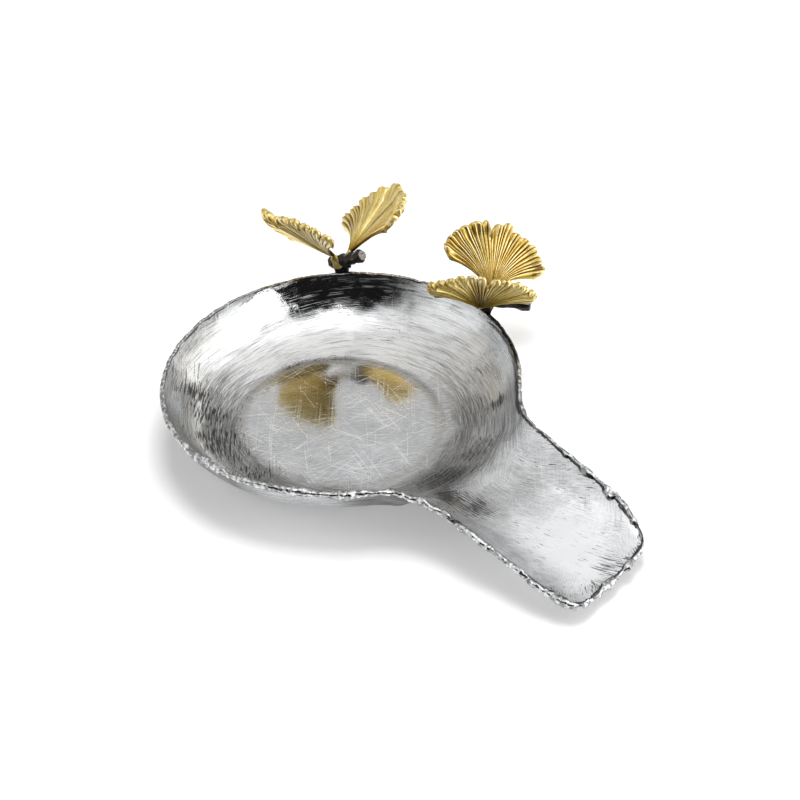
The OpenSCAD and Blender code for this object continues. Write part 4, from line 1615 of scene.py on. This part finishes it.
def add_lamp(s, kind, watts):
    """A soft oblong lamp."""
    deselect()
    place = studio_place(s, kind.compass, kind.rise, kind.distance)
    bpy.ops.object.light_add(type="AREA", location=place)
    lamp = name_new(kind.name)
    lamp.data.shape = "RECTANGLE"
    lamp.data.size, lamp.data.size_y = kind.sides
    lamp.data.energy = watts
    lamp.visible_glossy = kind.mirrored
    point_at(lamp, kind.target)


def card_finish(kind):
    """The glow of a card, by its height."""
    material, s = new_material(kind.name)
    height = s.add("ShaderNodeSeparateXYZ", {0: s.place()}).outputs["Z"]
    strength = s.rise(height, kind.foot, kind.top, kind.low, kind.high)
    glow = s.add("ShaderNodeEmission", {"Strength": strength})
    s.add("ShaderNodeOutputMaterial", {"Surface": glow.outputs[0]})
    return material


def add_card(s, kind):
    """An upright card that only shows as a reflection in the metal."""
    deselect()
    bpy.ops.mesh.primitive_plane_add(size=1)
    card = name_new(kind.name)
    facing = Matrix.Rotation(s.azimuth - math.radians(kind.compass), 4, "Z")
    upright = facing @ Matrix.Rotation(math.pi / 2, 4, "X")
    middle = studio_place(s, kind.compass, 0, kind.distance) + Vector((0, 0, kind.height / 2))
    sides = Matrix.Diagonal((kind.width, kind.height, 1, 1))
    card.data.transform(Matrix.Translation(middle) @ upright @ sides)
    card.data.materials.append(card_finish(kind))
    for ray in ("camera", "diffuse", "shadow", "transmission", "volume_scatter"):
        setattr(card, "visible_" + ray, False)


def add_camera(scene, s):
    """The camera at the photograph's angle."""
    back = studio_place(s, 180, math.degrees(s.elevation), 1)
    right = studio_place(s, 90, 0, 1)
    deselect()
    bpy.ops.object.camera_add(location=back * s.distance)
    camera = name_new("view")
    camera.data.lens = s.lens
    camera.data.sensor_width = SENSOR_WIDTH
    camera.data.clip_start = 0.01
    point_at(camera, right * s.aim_right + back.cross(right) * s.aim_up, s.roll)
    scene.camera = camera


class SPOON_OT_stage(bpy.types.Operator):
    """Sets the floor, the lamps and the camera"""

    bl_idname = "spoon.stage"
    bl_label = "Stage"

    def execute(self, context):
        s = context.scene.spoon_rest.stage
        deselect()
        bpy.ops.mesh.primitive_plane_add(size=s.floor)
        floor = name_new("floor")
        floor.data.materials.append(floor_finish())
        set_sky(context.scene, s.sky)
        add_lamp(s, KEY_LAMP, s.key)
        add_lamp(s, SIDE_LAMP, s.side)
        add_lamp(s, TOP_LAMP, s.top)
        for card in CARDS:
            add_card(s, card)
        add_camera(context.scene, s)
        context.scene.view_settings.view_transform = "Standard"
        return {"FINISHED"}


class SPOON_PT_panel(bpy.types.Panel):
    """Sizes, colours and the steps that build the spoon rest"""

    bl_idname = "SPOON_PT_panel"
    bl_label = "Spoon Rest"
    bl_space_type = "VIEW_3D"
    bl_region_type = "UI"
    bl_category = "Spoon Rest"

    def draw(self, context):
        settings = context.scene.spoon_rest
        steps = {
            "dish": SPOON_OT_dish,
            "bead": SPOON_OT_bead,
            "wing": SPOON_OT_wings,
            "twig": SPOON_OT_twigs,
            "stage": SPOON_OT_stage,
            "finish": None,
        }
        for key, step in steps.items():
            box = self.layout.box()
            group = getattr(settings, key)
            for field in group.__annotations__:
                box.prop(group, field)
            if step:
                box.operator(step.bl_idname)


CLASSES = (
    DishSizes,
    BeadSizes,
    WingSizes,
    TwigSizes,
    Finishes,
    StageSizes,
    SpoonRestSettings,
    SPOON_OT_dish,
    SPOON_OT_bead,
    SPOON_OT_wings,
    SPOON_OT_twigs,
    SPOON_OT_stage,
    SPOON_PT_panel,
)


def register():
    """Adds the classes and the scene's settings."""
    for item in CLASSES:
        bpy.utils.register_class(item)
    bpy.types.Scene.spoon_rest = bpy.props.PointerProperty(type=SpoonRestSettings)


def unregister():
    """Takes them away again."""
    del bpy.types.Scene.spoon_rest
    for item in reversed(CLASSES):
        bpy.utils.unregister_class(item)


def main():
    """Builds every piece and the stage."""
    register()
    steps = bpy.ops.spoon
    for step in (steps.dish, steps.bead, steps.wings, steps.twigs, steps.stage):
        step()


if __name__ == "__main__":
    main()
